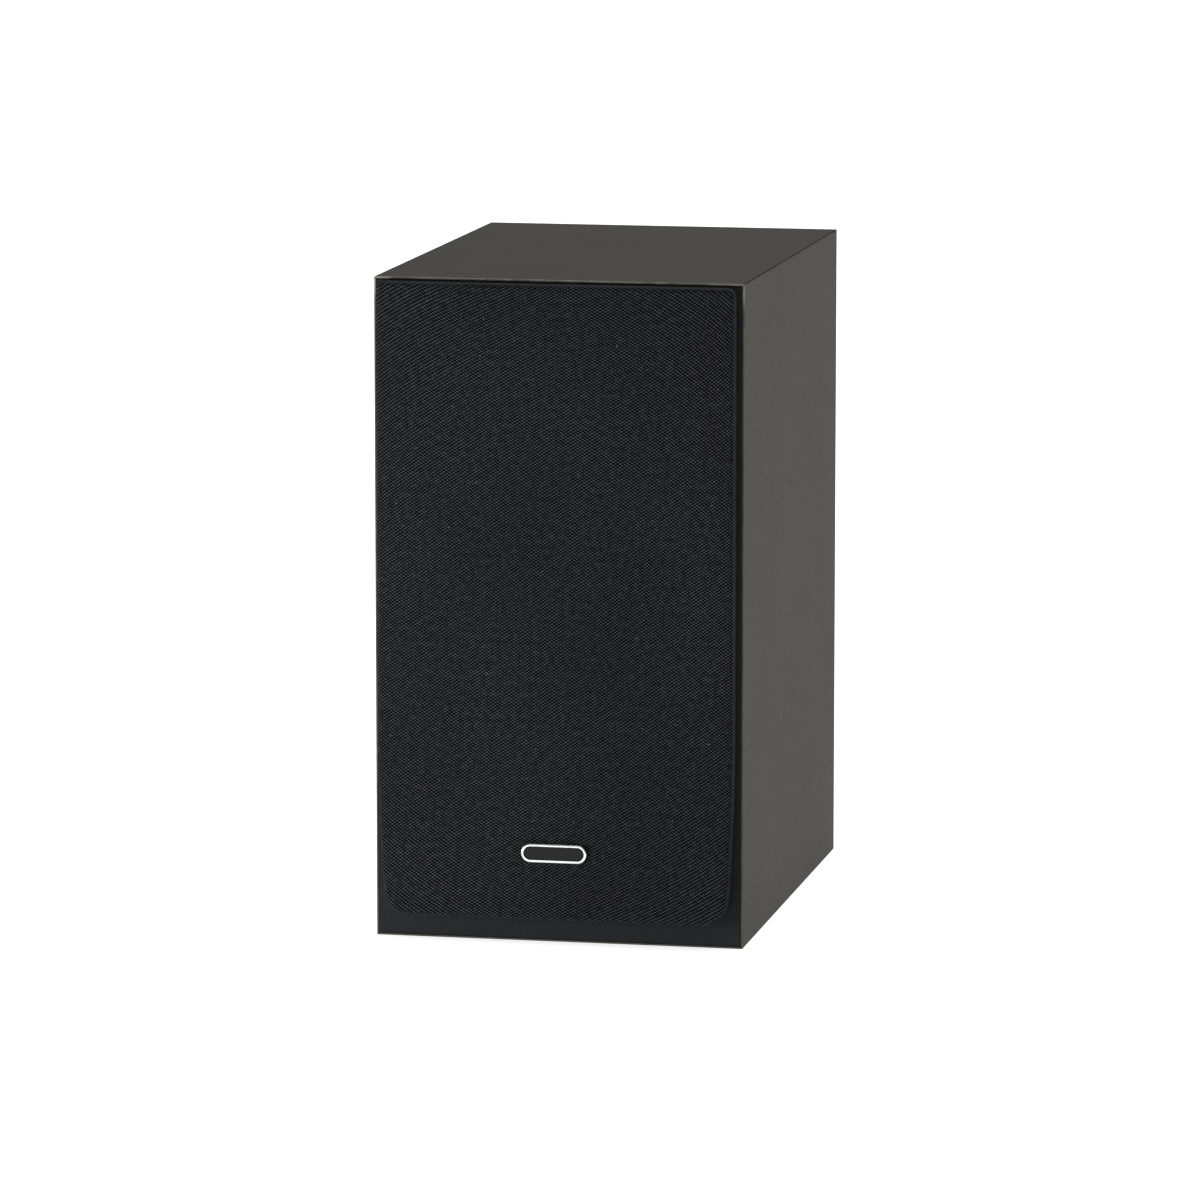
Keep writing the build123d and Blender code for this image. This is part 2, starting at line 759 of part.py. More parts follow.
# ---------------------------------------------------------------- reflex port
PORT_R = 23.0
PORT_WALL = 2.2
PORT_FLANGE_R = 38.5
PORT_FLANGE_T = 2.0
PORT_LENGTH = 108.0

with BuildPart() as port_tube:
    with BuildSketch(section(0, BACK, PORT_Z)):
        with BuildLine():
            ThreePointArc((34, PORT_FLANGE_T), (26.6, -4), (PORT_R, -14))
            Line((PORT_R, -14), (PORT_R, 10 - PORT_LENGTH))
            ThreePointArc((PORT_R, 10 - PORT_LENGTH), (24.6, 4 - PORT_LENGTH), (29, -PORT_LENGTH))
            Line((29, -PORT_LENGTH), (31.5, -PORT_LENGTH))
            ThreePointArc(
                (31.5, -PORT_LENGTH),
                (27, 4.6 - PORT_LENGTH),
                (PORT_R + PORT_WALL, 11 - PORT_LENGTH),
            )
            Line((PORT_R + PORT_WALL, 11 - PORT_LENGTH), (PORT_R + PORT_WALL, -15))
            ThreePointArc((PORT_R + PORT_WALL, -15), (28, -6), (33.6, 0))
            Line((33.6, 0), (PORT_FLANGE_R, 0))
            Line((PORT_FLANGE_R, 0), (PORT_FLANGE_R, PORT_FLANGE_T - 0.8))
            Line((PORT_FLANGE_R, PORT_FLANGE_T - 0.8), (PORT_FLANGE_R - 0.8, PORT_FLANGE_T))
            Line((PORT_FLANGE_R - 0.8, PORT_FLANGE_T), (34, PORT_FLANGE_T))
        make_face()
    revolve(axis=axle(0, BACK, PORT_Z))


# ---------------------------------------------------------------- terminal cup and binding posts
POST_PLACES = [(s * POST_SPACING / 2, TERMINAL_Z) for s in MIRROR_SIDES]
CUP_FACE = BACK + CUP_GASKET + CUP_FLANGE_T
CUP_SEAT = BACK + CUP_GASKET
CUP_BACK = CUP_FLOOR - CUP_WALL

with BuildPart() as terminal_cup:
    with BuildSketch(facing_front(CUP_FACE)):
        with Locations((0, TERMINAL_Z)):
            RectangleRounded(CUP_FLANGE_W, CUP_FLANGE_H, 8)
    extrude(amount=CUP_FLANGE_T)
    fillet(terminal_cup.faces().sort_by(Axis.Y)[-1].edges(), radius=1.2)
    with BuildSketch(facing_front(CUP_SEAT)):
        with Locations((0, TERMINAL_Z)):
            RectangleRounded(CUP_WIDTH, CUP_HEIGHT, 6)
    extrude(amount=CUP_SEAT - CUP_BACK)
    with BuildSketch(facing_front(CUP_FACE)):
        with Locations((0, TERMINAL_Z)):
            RectangleRounded(CUP_WIDTH - 2 * CUP_WALL, CUP_HEIGHT - 2 * CUP_WALL, 4)
    extrude(amount=CUP_FACE - CUP_FLOOR, taper=3, mode=Mode.SUBTRACT)
    with BuildSketch(facing_front(CUP_FLOOR)):
        with Locations(*POST_PLACES):
            Circle(POST_R + SCREW_CLEARANCE)
    extrude(amount=CUP_WALL, mode=Mode.SUBTRACT)
    with BuildSketch(facing_front(CUP_FACE)):
        with Locations(*CUP_SCREW_PLACES):
            Circle(CUP_SCREW_R + SCREW_CLEARANCE)
    extrude(amount=CUP_FLANGE_T, mode=Mode.SUBTRACT)

with BuildPart() as terminal_gasket:
    with BuildSketch(facing_front(CUP_SEAT)):
        with Locations((0, TERMINAL_Z)):
            RectangleRounded(CUP_FLANGE_W - 2, CUP_FLANGE_H - 2, 7)
            Rectangle(CUP_WIDTH + 1, CUP_HEIGHT + 1, mode=Mode.SUBTRACT)
        with Locations(*CUP_SCREW_PLACES):
            Circle(CUP_SCREW_R + SCREW_CLEARANCE, mode=Mode.SUBTRACT)
    extrude(amount=CUP_GASKET)

CUP_SCREW_HEAD = 1.8

with BuildPart() as terminal_screws:
    for x, z in CUP_SCREW_PLACES:
        with BuildSketch(section(x, CUP_FACE, z)):
            with BuildLine():
                Polyline(
                    (0, CUP_SCREW_HEAD),
                    (2.0, CUP_SCREW_HEAD),
                    (2.8, CUP_SCREW_HEAD * 0.4),
                    (2.8, 0),
                    (CUP_SCREW_R, 0),
                    (CUP_SCREW_R, -14),
                    (0, -16),
                    close=True,
                )
            make_face()
        revolve(axis=axle(x, CUP_FACE, z))
    with BuildSketch(facing_front(CUP_FACE + CUP_SCREW_HEAD)):
        with Locations(*CUP_SCREW_PLACES):
            Rectangle(3.0, 0.7)
            Rectangle(0.7, 3.0)
    extrude(amount=1.1, mode=Mode.SUBTRACT)

COLLAR_R = 7.2
COLLAR_T = 3.0
WASHER_T = 1.0
KNOB_R = 7.0
KNOB_LENGTH = 13.0
KNOB_FLUTES = 12
POST_REACH = 19.2  # from the cup's floor to the open end of the banana socket
BANANA_DEPTH = 17.0
WASHER_AT = COLLAR_T
KNOB_AT = WASHER_AT + WASHER_T


def post_shaft(x, z):
    """The threaded metal stud, with its banana socket and the cross hole for a bare wire."""
    with BuildPart() as shaft:
        with BuildSketch(section(x, CUP_FLOOR, z)):
            with BuildLine():
                Polyline(
                    (0, -10),
                    (POST_R, -10),
                    (POST_R, POST_REACH - 0.4),
                    (POST_R - 0.4, POST_REACH),
                    (BANANA_R, POST_REACH),
                    (BANANA_R, POST_REACH - BANANA_DEPTH),
                    (0, POST_REACH - BANANA_DEPTH - 1),
                    close=True,
                )
            make_face()
        revolve(axis=axle(x, CUP_FLOOR, z))
    return shaft


def post_washer(x, z):
    """The captive metal washer that rides out and in with its knob."""
    bore = POST_R + SCREW_CLEARANCE
    return turned(
        section(x, CUP_FLOOR, z),
        axle(x, CUP_FLOOR, z),
        [
            (bore, WASHER_AT),
            (6, WASHER_AT),
            (6, KNOB_AT - 0.05),
            (bore, KNOB_AT - 0.05),
        ],
    )


def post_knob(x, z):
    """The fluted plastic thumb nut, open at its outer end for a banana plug."""
    bore = POST_R + SCREW_CLEARANCE
    end = KNOB_AT + KNOB_LENGTH
    with BuildPart() as knob:
        with BuildSketch(section(x, CUP_FLOOR, z)):
            with BuildLine():
                Polyline(
                    (bore, KNOB_AT),
                    (KNOB_R - 0.5, KNOB_AT),
                    (KNOB_R, KNOB_AT + 0.5),
                    (KNOB_R, end - 1),
                    (KNOB_R - 1, end),
                    (4.6, end),
                    (bore, end - 1.5),
                    close=True,
                )
            make_face()
        revolve(axis=axle(x, CUP_FLOOR, z))
        with BuildSketch(facing_front(CUP_FLOOR + end)):
            with Locations((x, z)):
                with PolarLocations(KNOB_R + 0.4, KNOB_FLUTES):
                    Circle(1.0)
        extrude(amount=KNOB_LENGTH - 3, mode=Mode.SUBTRACT)
    return knob


BLACK_POST, RED_POST = POST_PLACES
red_post_shaft = post_shaft(*RED_POST)
black_post_shaft = post_shaft(*BLACK_POST)
red_post_washer = post_washer(*RED_POST)
black_post_washer = post_washer(*BLACK_POST)
red_post_knob = post_knob(*RED_POST)
black_post_knob = post_knob(*BLACK_POST)

with BuildPart() as post_collars:
    with BuildSketch(facing_front(CUP_FLOOR)):
        with Locations(*POST_PLACES):
            Circle(COLLAR_R)
            Circle(POST_R + SCREW_CLEARANCE, mode=Mode.SUBTRACT)
    extrude(amount=-COLLAR_T)
    rims = post_collars.edges().filter_by(GeomType.CIRCLE).group_by(SortBy.RADIUS)[-1]
    chamfer(rims.group_by(Axis.Y)[-1], length=0.5)

NUT_T = 4.0

with BuildPart() as post_nuts:
    with BuildSketch(facing_front(CUP_BACK)):
        with Locations(*POST_PLACES):
            RegularPolygon(5.6, 6)
            Circle(POST_R + SCREW_CLEARANCE, mode=Mode.SUBTRACT)
    extrude(amount=NUT_T)


# ---------------------------------------------------------------- crossover
CIRCUIT_X = 104.0
CIRCUIT_Y = 84.0
CIRCUIT_MID_Y = 36.0
CIRCUIT_TOP = CIRCUIT_Z + CIRCUIT_T
STANDOFF_PLACES = [
    (sx * (CIRCUIT_X / 2 - 5), CIRCUIT_MID_Y + sy * (CIRCUIT_Y / 2 - 5))
    for sx in MIRROR_SIDES
    for sy in MIRROR_SIDES
]

with BuildPart() as crossover_board:
    with BuildSketch(Plane.XY.offset(CIRCUIT_Z)):
        with Locations((0, CIRCUIT_MID_Y)):
            RectangleRounded(CIRCUIT_X, CIRCUIT_Y, 3)
        with Locations(*STANDOFF_PLACES):
            Circle(1.7, mode=Mode.SUBTRACT)
    extrude(amount=CIRCUIT_T)

with BuildPart() as board_standoffs:
    with BuildSketch(Plane.XY.offset(BOARD)):
        with Locations(*STANDOFF_PLACES):
            Circle(3.5)
    extrude(amount=CIRCUIT_Z - BOARD)
    with BuildSketch(Plane.XY.offset(CIRCUIT_Z)):
        with Locations(*STANDOFF_PLACES):
            Circle(1.6)
    extrude(amount=CIRCUIT_T)
    with BuildSketch(Plane.XY.offset(CIRCUIT_TOP)):
        with Locations(*STANDOFF_PLACES):
            Circle(2.8)
    extrude(amount=1.8)

COIL_PLACES = {"woofer": (-28, 52, 20, 20), "tweeter": (28, 56, 14, 14)}
BOBBIN_FLANGE = 1.5


def standing_tube(x, y, z, height, outer_r, inner_r):
    """An upright ring, such as a winding or a bobbin flange."""
    with BuildPart() as tube:
        with BuildSketch(Plane.XY.offset(z)):
            with Locations((x, y)):
                Circle(outer_r)
                Circle(inner_r, mode=Mode.SUBTRACT)
        extrude(amount=height)
    return tube


with BuildPart() as inductor_bobbins:
    for x, y, outer_r, height in COIL_PLACES.values():
        core_r = outer_r * 0.45
        for z, radius, tall in (
            (CIRCUIT_TOP, outer_r, BOBBIN_FLANGE),
            (CIRCUIT_TOP + BOBBIN_FLANGE, core_r, height),
            (CIRCUIT_TOP + BOBBIN_FLANGE + height, outer_r, BOBBIN_FLANGE),
        ):
            with BuildSketch(Plane.XY.offset(z)):
                with Locations((x, y)):
                    Circle(radius)
                    Circle(core_r - 2, mode=Mode.SUBTRACT)
            extrude(amount=tall)


def winding(place):
    """The copper coil that fills a bobbin, just under its flanges' radius."""
    x, y, outer_r, height = place
    return standing_tube(
        x, y, CIRCUIT_TOP + BOBBIN_FLANGE, height, outer_r - 1, outer_r * 0.45
    )


woofer_inductor = winding(COIL_PLACES["woofer"])
tweeter_inductor = winding(COIL_PLACES["tweeter"])

with BuildPart() as capacitors:
    for x, y, radius, length in ((26, 30, 8, 34), (-30, 20, 7, 30), (28, 10, 6, 26)):
        with BuildSketch(Plane.YZ.offset(x - length / 2)):
            with Locations((y, CIRCUIT_TOP + radius)):
                Circle(radius)
        extrude(amount=length)
    fillet(capacitors.edges().filter_by(GeomType.CIRCLE), radius=1.2)

with BuildPart() as resistors:
    for x in (-3.5, 6):
        with Locations((x, 58, CIRCUIT_TOP + 5)):
            Box(7, 26, 10)
    chamfer(resistors.edges(), length=0.5)


# ---------------------------------------------------------------- wiring, each lead along its own route
WIRE_R = 1.2
WIRE_BEND = 7.0
BOARD_EDGE = CIRCUIT_MID_Y - CIRCUIT_Y / 2
WIRE_FOOT = CIRCUIT_TOP


def lead(side, route, radii):
    """One insulated lead: a round tube along straight runs joined by tangent arcs."""
    points = [(side * x, y, z) for x, y, z in route]
    with BuildPart() as wire:
        with BuildLine() as path:
            FilletPolyline(*points, radius=radii)
        with BuildSketch(Plane(origin=path.line @ 0, z_dir=path.line % 0)):
            Circle(WIRE_R)
        sweep()
    return wire


POST_TAIL = CUP_FLOOR - 10
INPUT_ROUTE = [
    (POST_SPACING / 2, POST_TAIL, TERMINAL_Z),
    (POST_SPACING / 2, POST_TAIL - 12, TERMINAL_Z),
    (13, POST_TAIL - 21, TERMINAL_Z - 16),
    (14, 74, WIRE_FOOT + 12),
    (14, 74, WIRE_FOOT),
]
WOOFER_ROUTE = [
    (10, BOARD_EDGE + 3, WIRE_FOOT),
    (10, BOARD_EDGE + 3, WIRE_FOOT + 28),
    (11, -26, 96),
    (9, -34, 142),
    (TAB_HALF_GAP, -62, WOOFER_TAB_Z - 1.5),
    (TAB_HALF_GAP, FRONT + TAG_BOARD_DEPTH + 2.8, WOOFER_TAB_Z - 1.5),
]
TWEETER_ROUTE = [
    (20, BOARD_EDGE + 3, WIRE_FOOT),
    (20, BOARD_EDGE + 3, WIRE_FOOT + 34),
    (23, -16, 110),
    (20, -30, 168),
    (10, -56, TWEETER_TAB_Z + 1),
    (5, -76, TWEETER_TAB_Z),
    (5, TWEETER_TAB_BACK, TWEETER_TAB_Z),
]


def bend_radii(route):
    """Each corner's radius: 0.45 of its shorter run, divided by the tangent of half the turn."""
    points = [Vector(*p) for p in route]
    radii = []
    for before, corner, after in zip(points, points[1:], points[2:]):
        arrive, leave = corner - before, after - corner
        half_turn = radians(arrive.get_angle(leave)) / 2
        radii.append(0.45 * min(arrive.length, leave.length) * cos(half_turn) / sin(half_turn))
    return radii


def harness(side):
    """The three leads of one polarity."""
    with BuildPart() as leads:
        for route in (INPUT_ROUTE, WOOFER_ROUTE, TWEETER_ROUTE):
            add(lead(side, route, bend_radii(route)).part)
    return leads


red_wires = harness(1)
black_wires = harness(-1)


# ---------------------------------------------------------------- grille
GRILLE_TOP = HEIGHT - 1.6
GRILLE_BOTTOM = 11.5
GRILLE_HALF = 81.2
GRILLE_TAPER_Z = 95.0  # below this the sides draw in
GRILLE_FOOT_HALF = 78.0
GRILLE_TOP_R = 3.6
GRILLE_FOOT_R = 12.0
GRILLE_EDGE_R = 1.8
RIM = 7.0
GRILLE_BACK = FRONT - GRILLE_GAP
GRILLE_FACE = FRONT - GRILLE_T


def grille_outline(inset):
    """The grille's outline, drawn inwards by inset, in the sketch that is open."""
    with BuildSketch(mode=Mode.PRIVATE) as outline:
        with BuildLine():
            Polyline((0, GRILLE_TOP), (GRILLE_HALF, GRILLE_TOP), (GRILLE_HALF, GRILLE_TAPER_Z))
            foot = (GRILLE_FOOT_HALF, GRILLE_BOTTOM)
            TangentArc((GRILLE_HALF, GRILLE_TAPER_Z), foot, tangent=(0, -1))
            Line(foot, (0, GRILLE_BOTTOM))
            mirror(about=Plane.YZ)
        make_face()
        corners = outline.vertices().filter_by(lambda v: abs(v.X) > 1)
        fillet(corners.filter_by(lambda v: v.Y > HEIGHT / 2), radius=GRILLE_TOP_R)
        fillet(
            outline.vertices().filter_by(lambda v: v.Y < GRILLE_BOTTOM + 1 and abs(v.X) > 1),
            radius=GRILLE_FOOT_R,
        )
        if inset:
            offset(amount=-inset, kind=Kind.INTERSECTION, mode=Mode.REPLACE)
    return outline.sketch


with BuildPart() as grille_cloth:
    with BuildSketch(facing_front(GRILLE_BACK)):
        add(grille_outline(0))
    extrude(amount=GRILLE_BACK - GRILLE_FACE)
    fillet(grille_cloth.faces().sort_by(Axis.Y)[0].edges(), radius=GRILLE_EDGE_R)
    with BuildSketch(facing_front(GRILLE_BACK)):
        add(grille_outline(CLOTH))
    extrude(amount=GRILLE_BACK - GRILLE_FACE - CLOTH, mode=Mode.SUBTRACT)

FRAME_FACE = GRILLE_FACE + CLOTH + CLOTH_GAP
BAR_T = 4.0
TONGUE_T = 3.0
PEG_LENGTH = 9.5

with BuildPart() as grille_frame:
    with BuildSketch(facing_front(GRILLE_BACK)):
        add(grille_outline(CLOTH + CLOTH_GAP))
        add(grille_outline(RIM), mode=Mode.SUBTRACT)
    extrude(amount=GRILLE_BACK - FRAME_FACE)
    with BuildSketch(facing_front(GRILLE_BACK)):
        with Locations(*PEG_PLACES):
            Circle(6)
    extrude(amount=GRILLE_BACK - FRAME_FACE)
    with BuildSketch(facing_front(FRAME_FACE)):
        with Locations((0, 172)):
            Rectangle(2 * (GRILLE_HALF - RIM + 1), 9)
    extrude(amount=-BAR_T)
    with BuildSketch(facing_front(FRAME_FACE)):
        with Locations((0, (GRILLE_BOTTOM + BADGE_Z + 8) / 2 + 1)):
            Rectangle(BADGE_LENGTH + 6, BADGE_Z + 6 - GRILLE_BOTTOM)
    extrude(amount=-TONGUE_T)
    for x, z in PEG_PLACES:
        with BuildSketch(section(x, GRILLE_BACK, z)):
            with BuildLine():
                Polyline(
                    (0, -2),
                    (PEG_R, -2),
                    (PEG_R, PEG_LENGTH - 3),
                    (PEG_R - 0.5, PEG_LENGTH - 1.5),
                    (PEG_R - 1.5, PEG_LENGTH),
                    (0, PEG_LENGTH),
                    close=True,
                )
            make_face()
        revolve(axis=axle(x, GRILLE_BACK, z))

with BuildPart() as grille_sockets:
    for x, z in PEG_PLACES:
        with BuildSketch(section(x, FRONT, z)):
            with BuildLine():
                Polyline(
                    (PEG_R + 0.8, 0),
                    (SOCKET_R - 0.05, 0),
                    (SOCKET_R - 0.05, SOCKET_DEPTH),
                    (0, SOCKET_DEPTH),
                    (0, SOCKET_DEPTH - 1.2),
                    (PEG_R + 0.1, SOCKET_DEPTH - 1.2),
                    (PEG_R + 0.1, 0.7),
                    close=True,
                )
            make_face()
        revolve(axis=axle(x, FRONT, z))

BADGE_T = 1.6
BADGE_RIM = 1.1
BADGE_FIELD = 0.7

with BuildPart() as grille_badge:
    with BuildSketch(facing_front(GRILLE_FACE)):
        with Locations((0, BADGE_Z)):
            SlotOverall(BADGE_LENGTH, BADGE_HEIGHT)
    extrude(amount=BADGE_T)
    fillet(grille_badge.faces().sort_by(Axis.Y)[0].edges(), radius=0.5)
    with BuildSketch(facing_front(GRILLE_FACE - BADGE_T)):
        with Locations((0, BADGE_Z)):
            SlotOverall(BADGE_LENGTH - 2 * BADGE_RIM, BADGE_HEIGHT - 2 * BADGE_RIM)
    extrude(amount=-BADGE_FIELD, mode=Mode.SUBTRACT)


# ---------------------------------------------------------------- every piece, as its own file
pieces = {
    "left_side_panel": left_side_panel,
    "right_side_panel": right_side_panel,
    "top_panel": top_panel,
    "bottom_panel": bottom_panel,
    "front_baffle": front_baffle,
    "back_panel": back_panel,
    "window_brace": window_brace,
    "side_linings": side_linings,
    "top_lining": top_lining,
    "woofer_basket": woofer_basket,
    "woofer_gasket": woofer_gasket,
    "woofer_screws": woofer_screws,
    "woofer_surround": woofer_surround,
    "woofer_cone": woofer_cone,
    "woofer_dust_cap": woofer_dust_cap,
    "woofer_former": woofer_former,
    "woofer_voice_coil": woofer_voice_coil,
    "woofer_spider": woofer_spider,
    "woofer_top_plate": woofer_top_plate,
    "woofer_magnet": woofer_magnet,
    "woofer_yoke": woofer_yoke,
    "woofer_terminals": woofer_terminals,
    "woofer_tinsel_leads": woofer_tinsel_leads,
    "tweeter_faceplate": tweeter_faceplate,
    "tweeter_gasket": tweeter_gasket,
    "tweeter_screws": tweeter_screws,
    "tweeter_dome_guard": tweeter_dome_guard,
    "tweeter_dome": tweeter_dome,
    "tweeter_surround": tweeter_surround,
    "tweeter_voice_coil": tweeter_voice_coil,
    "tweeter_top_plate": tweeter_top_plate,
    "tweeter_magnet": tweeter_magnet,
    "tweeter_yoke": tweeter_yoke,
    "tweeter_rear_cup": tweeter_rear_cup,
    "tweeter_terminals": tweeter_terminals,
    "port_tube": port_tube,
    "terminal_cup": terminal_cup,
    "terminal_gasket": terminal_gasket,
    "terminal_screws": terminal_screws,
    "red_post_shaft": red_post_shaft,
    "black_post_shaft": black_post_shaft,
    "post_collars": post_collars,
    "red_post_washer": red_post_washer,
    "black_post_washer": black_post_washer,
    "red_post_knob": red_post_knob,
    "black_post_knob": black_post_knob,
    "post_nuts": post_nuts,
    "crossover_board": crossover_board,
    "board_standoffs": board_standoffs,
    "inductor_bobbins": inductor_bobbins,
    "woofer_inductor": woofer_inductor,
    "tweeter_inductor": tweeter_inductor,
    "capacitors": capacitors,
    "resistors": resistors,
    "red_wires": red_wires,
    "black_wires": black_wires,
    "grille_cloth": grille_cloth,
    "grille_frame": grille_frame,
    "grille_sockets": grille_sockets,
    "grille_badge": grille_badge,
}
for name, piece in pieces.items():
    piece.part.label = name
    export_step(piece.part, f"parts/{name}.step")
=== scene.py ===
"""Looks for the bookshelf speaker: materials, knitted grille, wadding, copied rings and leads, and studio."""

import json
from math import cos, pi, sin

import bmesh
import bpy
import numpy as np
from mathutils import Matrix, Vector, noise


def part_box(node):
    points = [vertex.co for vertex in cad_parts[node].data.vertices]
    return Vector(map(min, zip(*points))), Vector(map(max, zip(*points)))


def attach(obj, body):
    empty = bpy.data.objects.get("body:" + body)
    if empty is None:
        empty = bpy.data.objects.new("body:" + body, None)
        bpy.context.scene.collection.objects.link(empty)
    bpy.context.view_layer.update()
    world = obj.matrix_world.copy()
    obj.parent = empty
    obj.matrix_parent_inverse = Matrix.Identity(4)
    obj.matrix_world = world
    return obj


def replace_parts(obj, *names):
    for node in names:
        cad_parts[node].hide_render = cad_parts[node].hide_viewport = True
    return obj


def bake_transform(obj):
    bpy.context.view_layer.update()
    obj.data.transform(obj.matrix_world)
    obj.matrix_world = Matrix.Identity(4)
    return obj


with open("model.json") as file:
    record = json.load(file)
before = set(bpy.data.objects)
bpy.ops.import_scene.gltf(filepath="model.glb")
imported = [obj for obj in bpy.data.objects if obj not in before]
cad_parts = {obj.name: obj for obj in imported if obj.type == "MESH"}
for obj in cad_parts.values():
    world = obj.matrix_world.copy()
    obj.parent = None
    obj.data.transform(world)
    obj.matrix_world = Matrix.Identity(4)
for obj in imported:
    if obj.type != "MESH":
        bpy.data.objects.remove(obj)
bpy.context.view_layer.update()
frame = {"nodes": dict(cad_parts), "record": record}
MM = 0.001


# ---------------------------------------------------------------- material building
def linear(text):
    """A shader colour from an sRGB hex colour."""
    shares = [int(text[i : i + 2], 16) / 255 for i in (1, 3, 5)]
    return [s / 12.92 if s <= 0.04045 else ((s + 0.055) / 1.055) ** 2.4 for s in shares] + [1.0]


class Tree:
    """One material's node tree, with short calls for the nodes it uses."""

    def __init__(self, name):
        self.material = bpy.data.materials.new(name)
        self.material.use_nodes = True
        self.nodes = self.material.node_tree.nodes
        self.links = self.material.node_tree.links
        self.shader = self.nodes["Principled BSDF"]
        self.place = self.nodes.new("ShaderNodeTexCoord").outputs["Object"]

    def feed(self, value, socket):
        if isinstance(value, bpy.types.NodeSocket):
            self.links.new(value, socket)
        else:
            socket.default_value = value

    def noise(self, size, detail=3.0, roughness=0.55, place=None):
        """Smooth noise from 0 to 1 whose features are about size metres across."""
        node = self.nodes.new("ShaderNodeTexNoise")
        node.inputs["Scale"].default_value = 1 / size
        node.inputs["Detail"].default_value = detail
        node.inputs["Roughness"].default_value = roughness
        self.links.new(place or self.place, node.inputs["Vector"])
        return node.outputs["Fac"]

    def cells(self, size, place=None, feature="F1"):
        """Distance to the nearest cell point, for pebbles and flecks about size metres apart."""
        node = self.nodes.new("ShaderNodeTexVoronoi")
        node.feature = feature
        node.inputs["Scale"].default_value = 1 / size
        self.links.new(place or self.place, node.inputs["Vector"])
        return node.outputs["Distance"]

    def math(self, operation, *values):
        node = self.nodes.new("ShaderNodeMath")
        node.operation = operation
        for value, socket in zip(values, node.inputs):
            self.feed(value, socket)
        return node.outputs["Value"]

    def spread(self, value, low, high, out_low=0.0, out_high=1.0):
        """value stretched from low..high onto out_low..out_high, smoothly and without passing either."""
        node = self.nodes.new("ShaderNodeMapRange")
        node.interpolation_type = "SMOOTHSTEP"
        for number, socket in zip((low, high, out_low, out_high), list(node.inputs)[1:5]):
            socket.default_value = number
        self.links.new(value, node.inputs["Value"])
        return node.outputs["Result"]

    def mix(self, share, first, second):
        node = self.nodes.new("ShaderNodeMix")
        node.data_type = "RGBA"
        self.feed(share, node.inputs["Factor"])
        colours = [socket for socket in node.inputs if socket.type == "RGBA"]
        self.feed(first, colours[0])
        self.feed(second, colours[1])
        return next(socket for socket in node.outputs if socket.type == "RGBA")

    def parts(self, place=None):
        """The x, y and z of a point."""
        node = self.nodes.new("ShaderNodeSeparateXYZ")
        self.links.new(place or self.place, node.inputs["Vector"])
        return node.outputs["X"], node.outputs["Y"], node.outputs["Z"]

    def stretched(self, factors, place=None):
        """Coordinates squeezed so that a texture runs long in one direction."""
        node = self.nodes.new("ShaderNodeMapping")
        node.inputs["Scale"].default_value = factors
        self.links.new(place or self.place, node.inputs["Vector"])
        return node.outputs["Vector"]

    def bump(self, height, depth, strength=1.0, under=None):
        """Relief of depth metres from a height of 0 to 1."""
        node = self.nodes.new("ShaderNodeBump")
        node.inputs["Strength"].default_value = strength
        node.inputs["Distance"].default_value = depth
        self.links.new(height, node.inputs["Height"])
        if under is not None:
            self.links.new(under, node.inputs["Normal"])
        return node.outputs["Normal"]

    def edges(self, radius):
        """1 on sharp edges and 0 on flats, from how far a rounded normal leans away from the face's own."""
        bevel = self.nodes.new("ShaderNodeBevel")
        bevel.samples = 4
        bevel.inputs["Radius"].default_value = radius
        geometry = self.nodes.new("ShaderNodeNewGeometry")
        dot = self.nodes.new("ShaderNodeVectorMath")
        dot.operation = "DOT_PRODUCT"
        self.links.new(bevel.outputs["Normal"], dot.inputs[0])
        self.links.new(geometry.outputs["Normal"], dot.inputs[1])
        return self.spread(dot.outputs["Value"], 0.99, 0.80)

    def finish(self, colour, roughness, normal=None, **fixed):
        """Joins colour, roughness and normal to the shader, and sets its other sockets by name."""
        self.feed(colour, self.shader.inputs["Base Color"])
        self.feed(roughness, self.shader.inputs["Roughness"])
        if normal is not None:
            self.links.new(normal, self.shader.inputs["Normal"])
        for name, value in fixed.items():
            self.shader.inputs[name.replace("_", " ").title().replace("Ior", "IOR")].default_value = value
        return self.material


MIDDLE_Z = 150 * MM
MITRE = 234.25 * MM  # where two boards' faces meet: |x| plus the height from the middle
FRONT = -122.5 * MM  # the boards' front edges and the baffle's face
EDGE_WEAR = 0.1
LIP_LOW = 285 * MM  # the lip's painted highlight grows from here
LIP_HIGH = 299 * MM  # to here


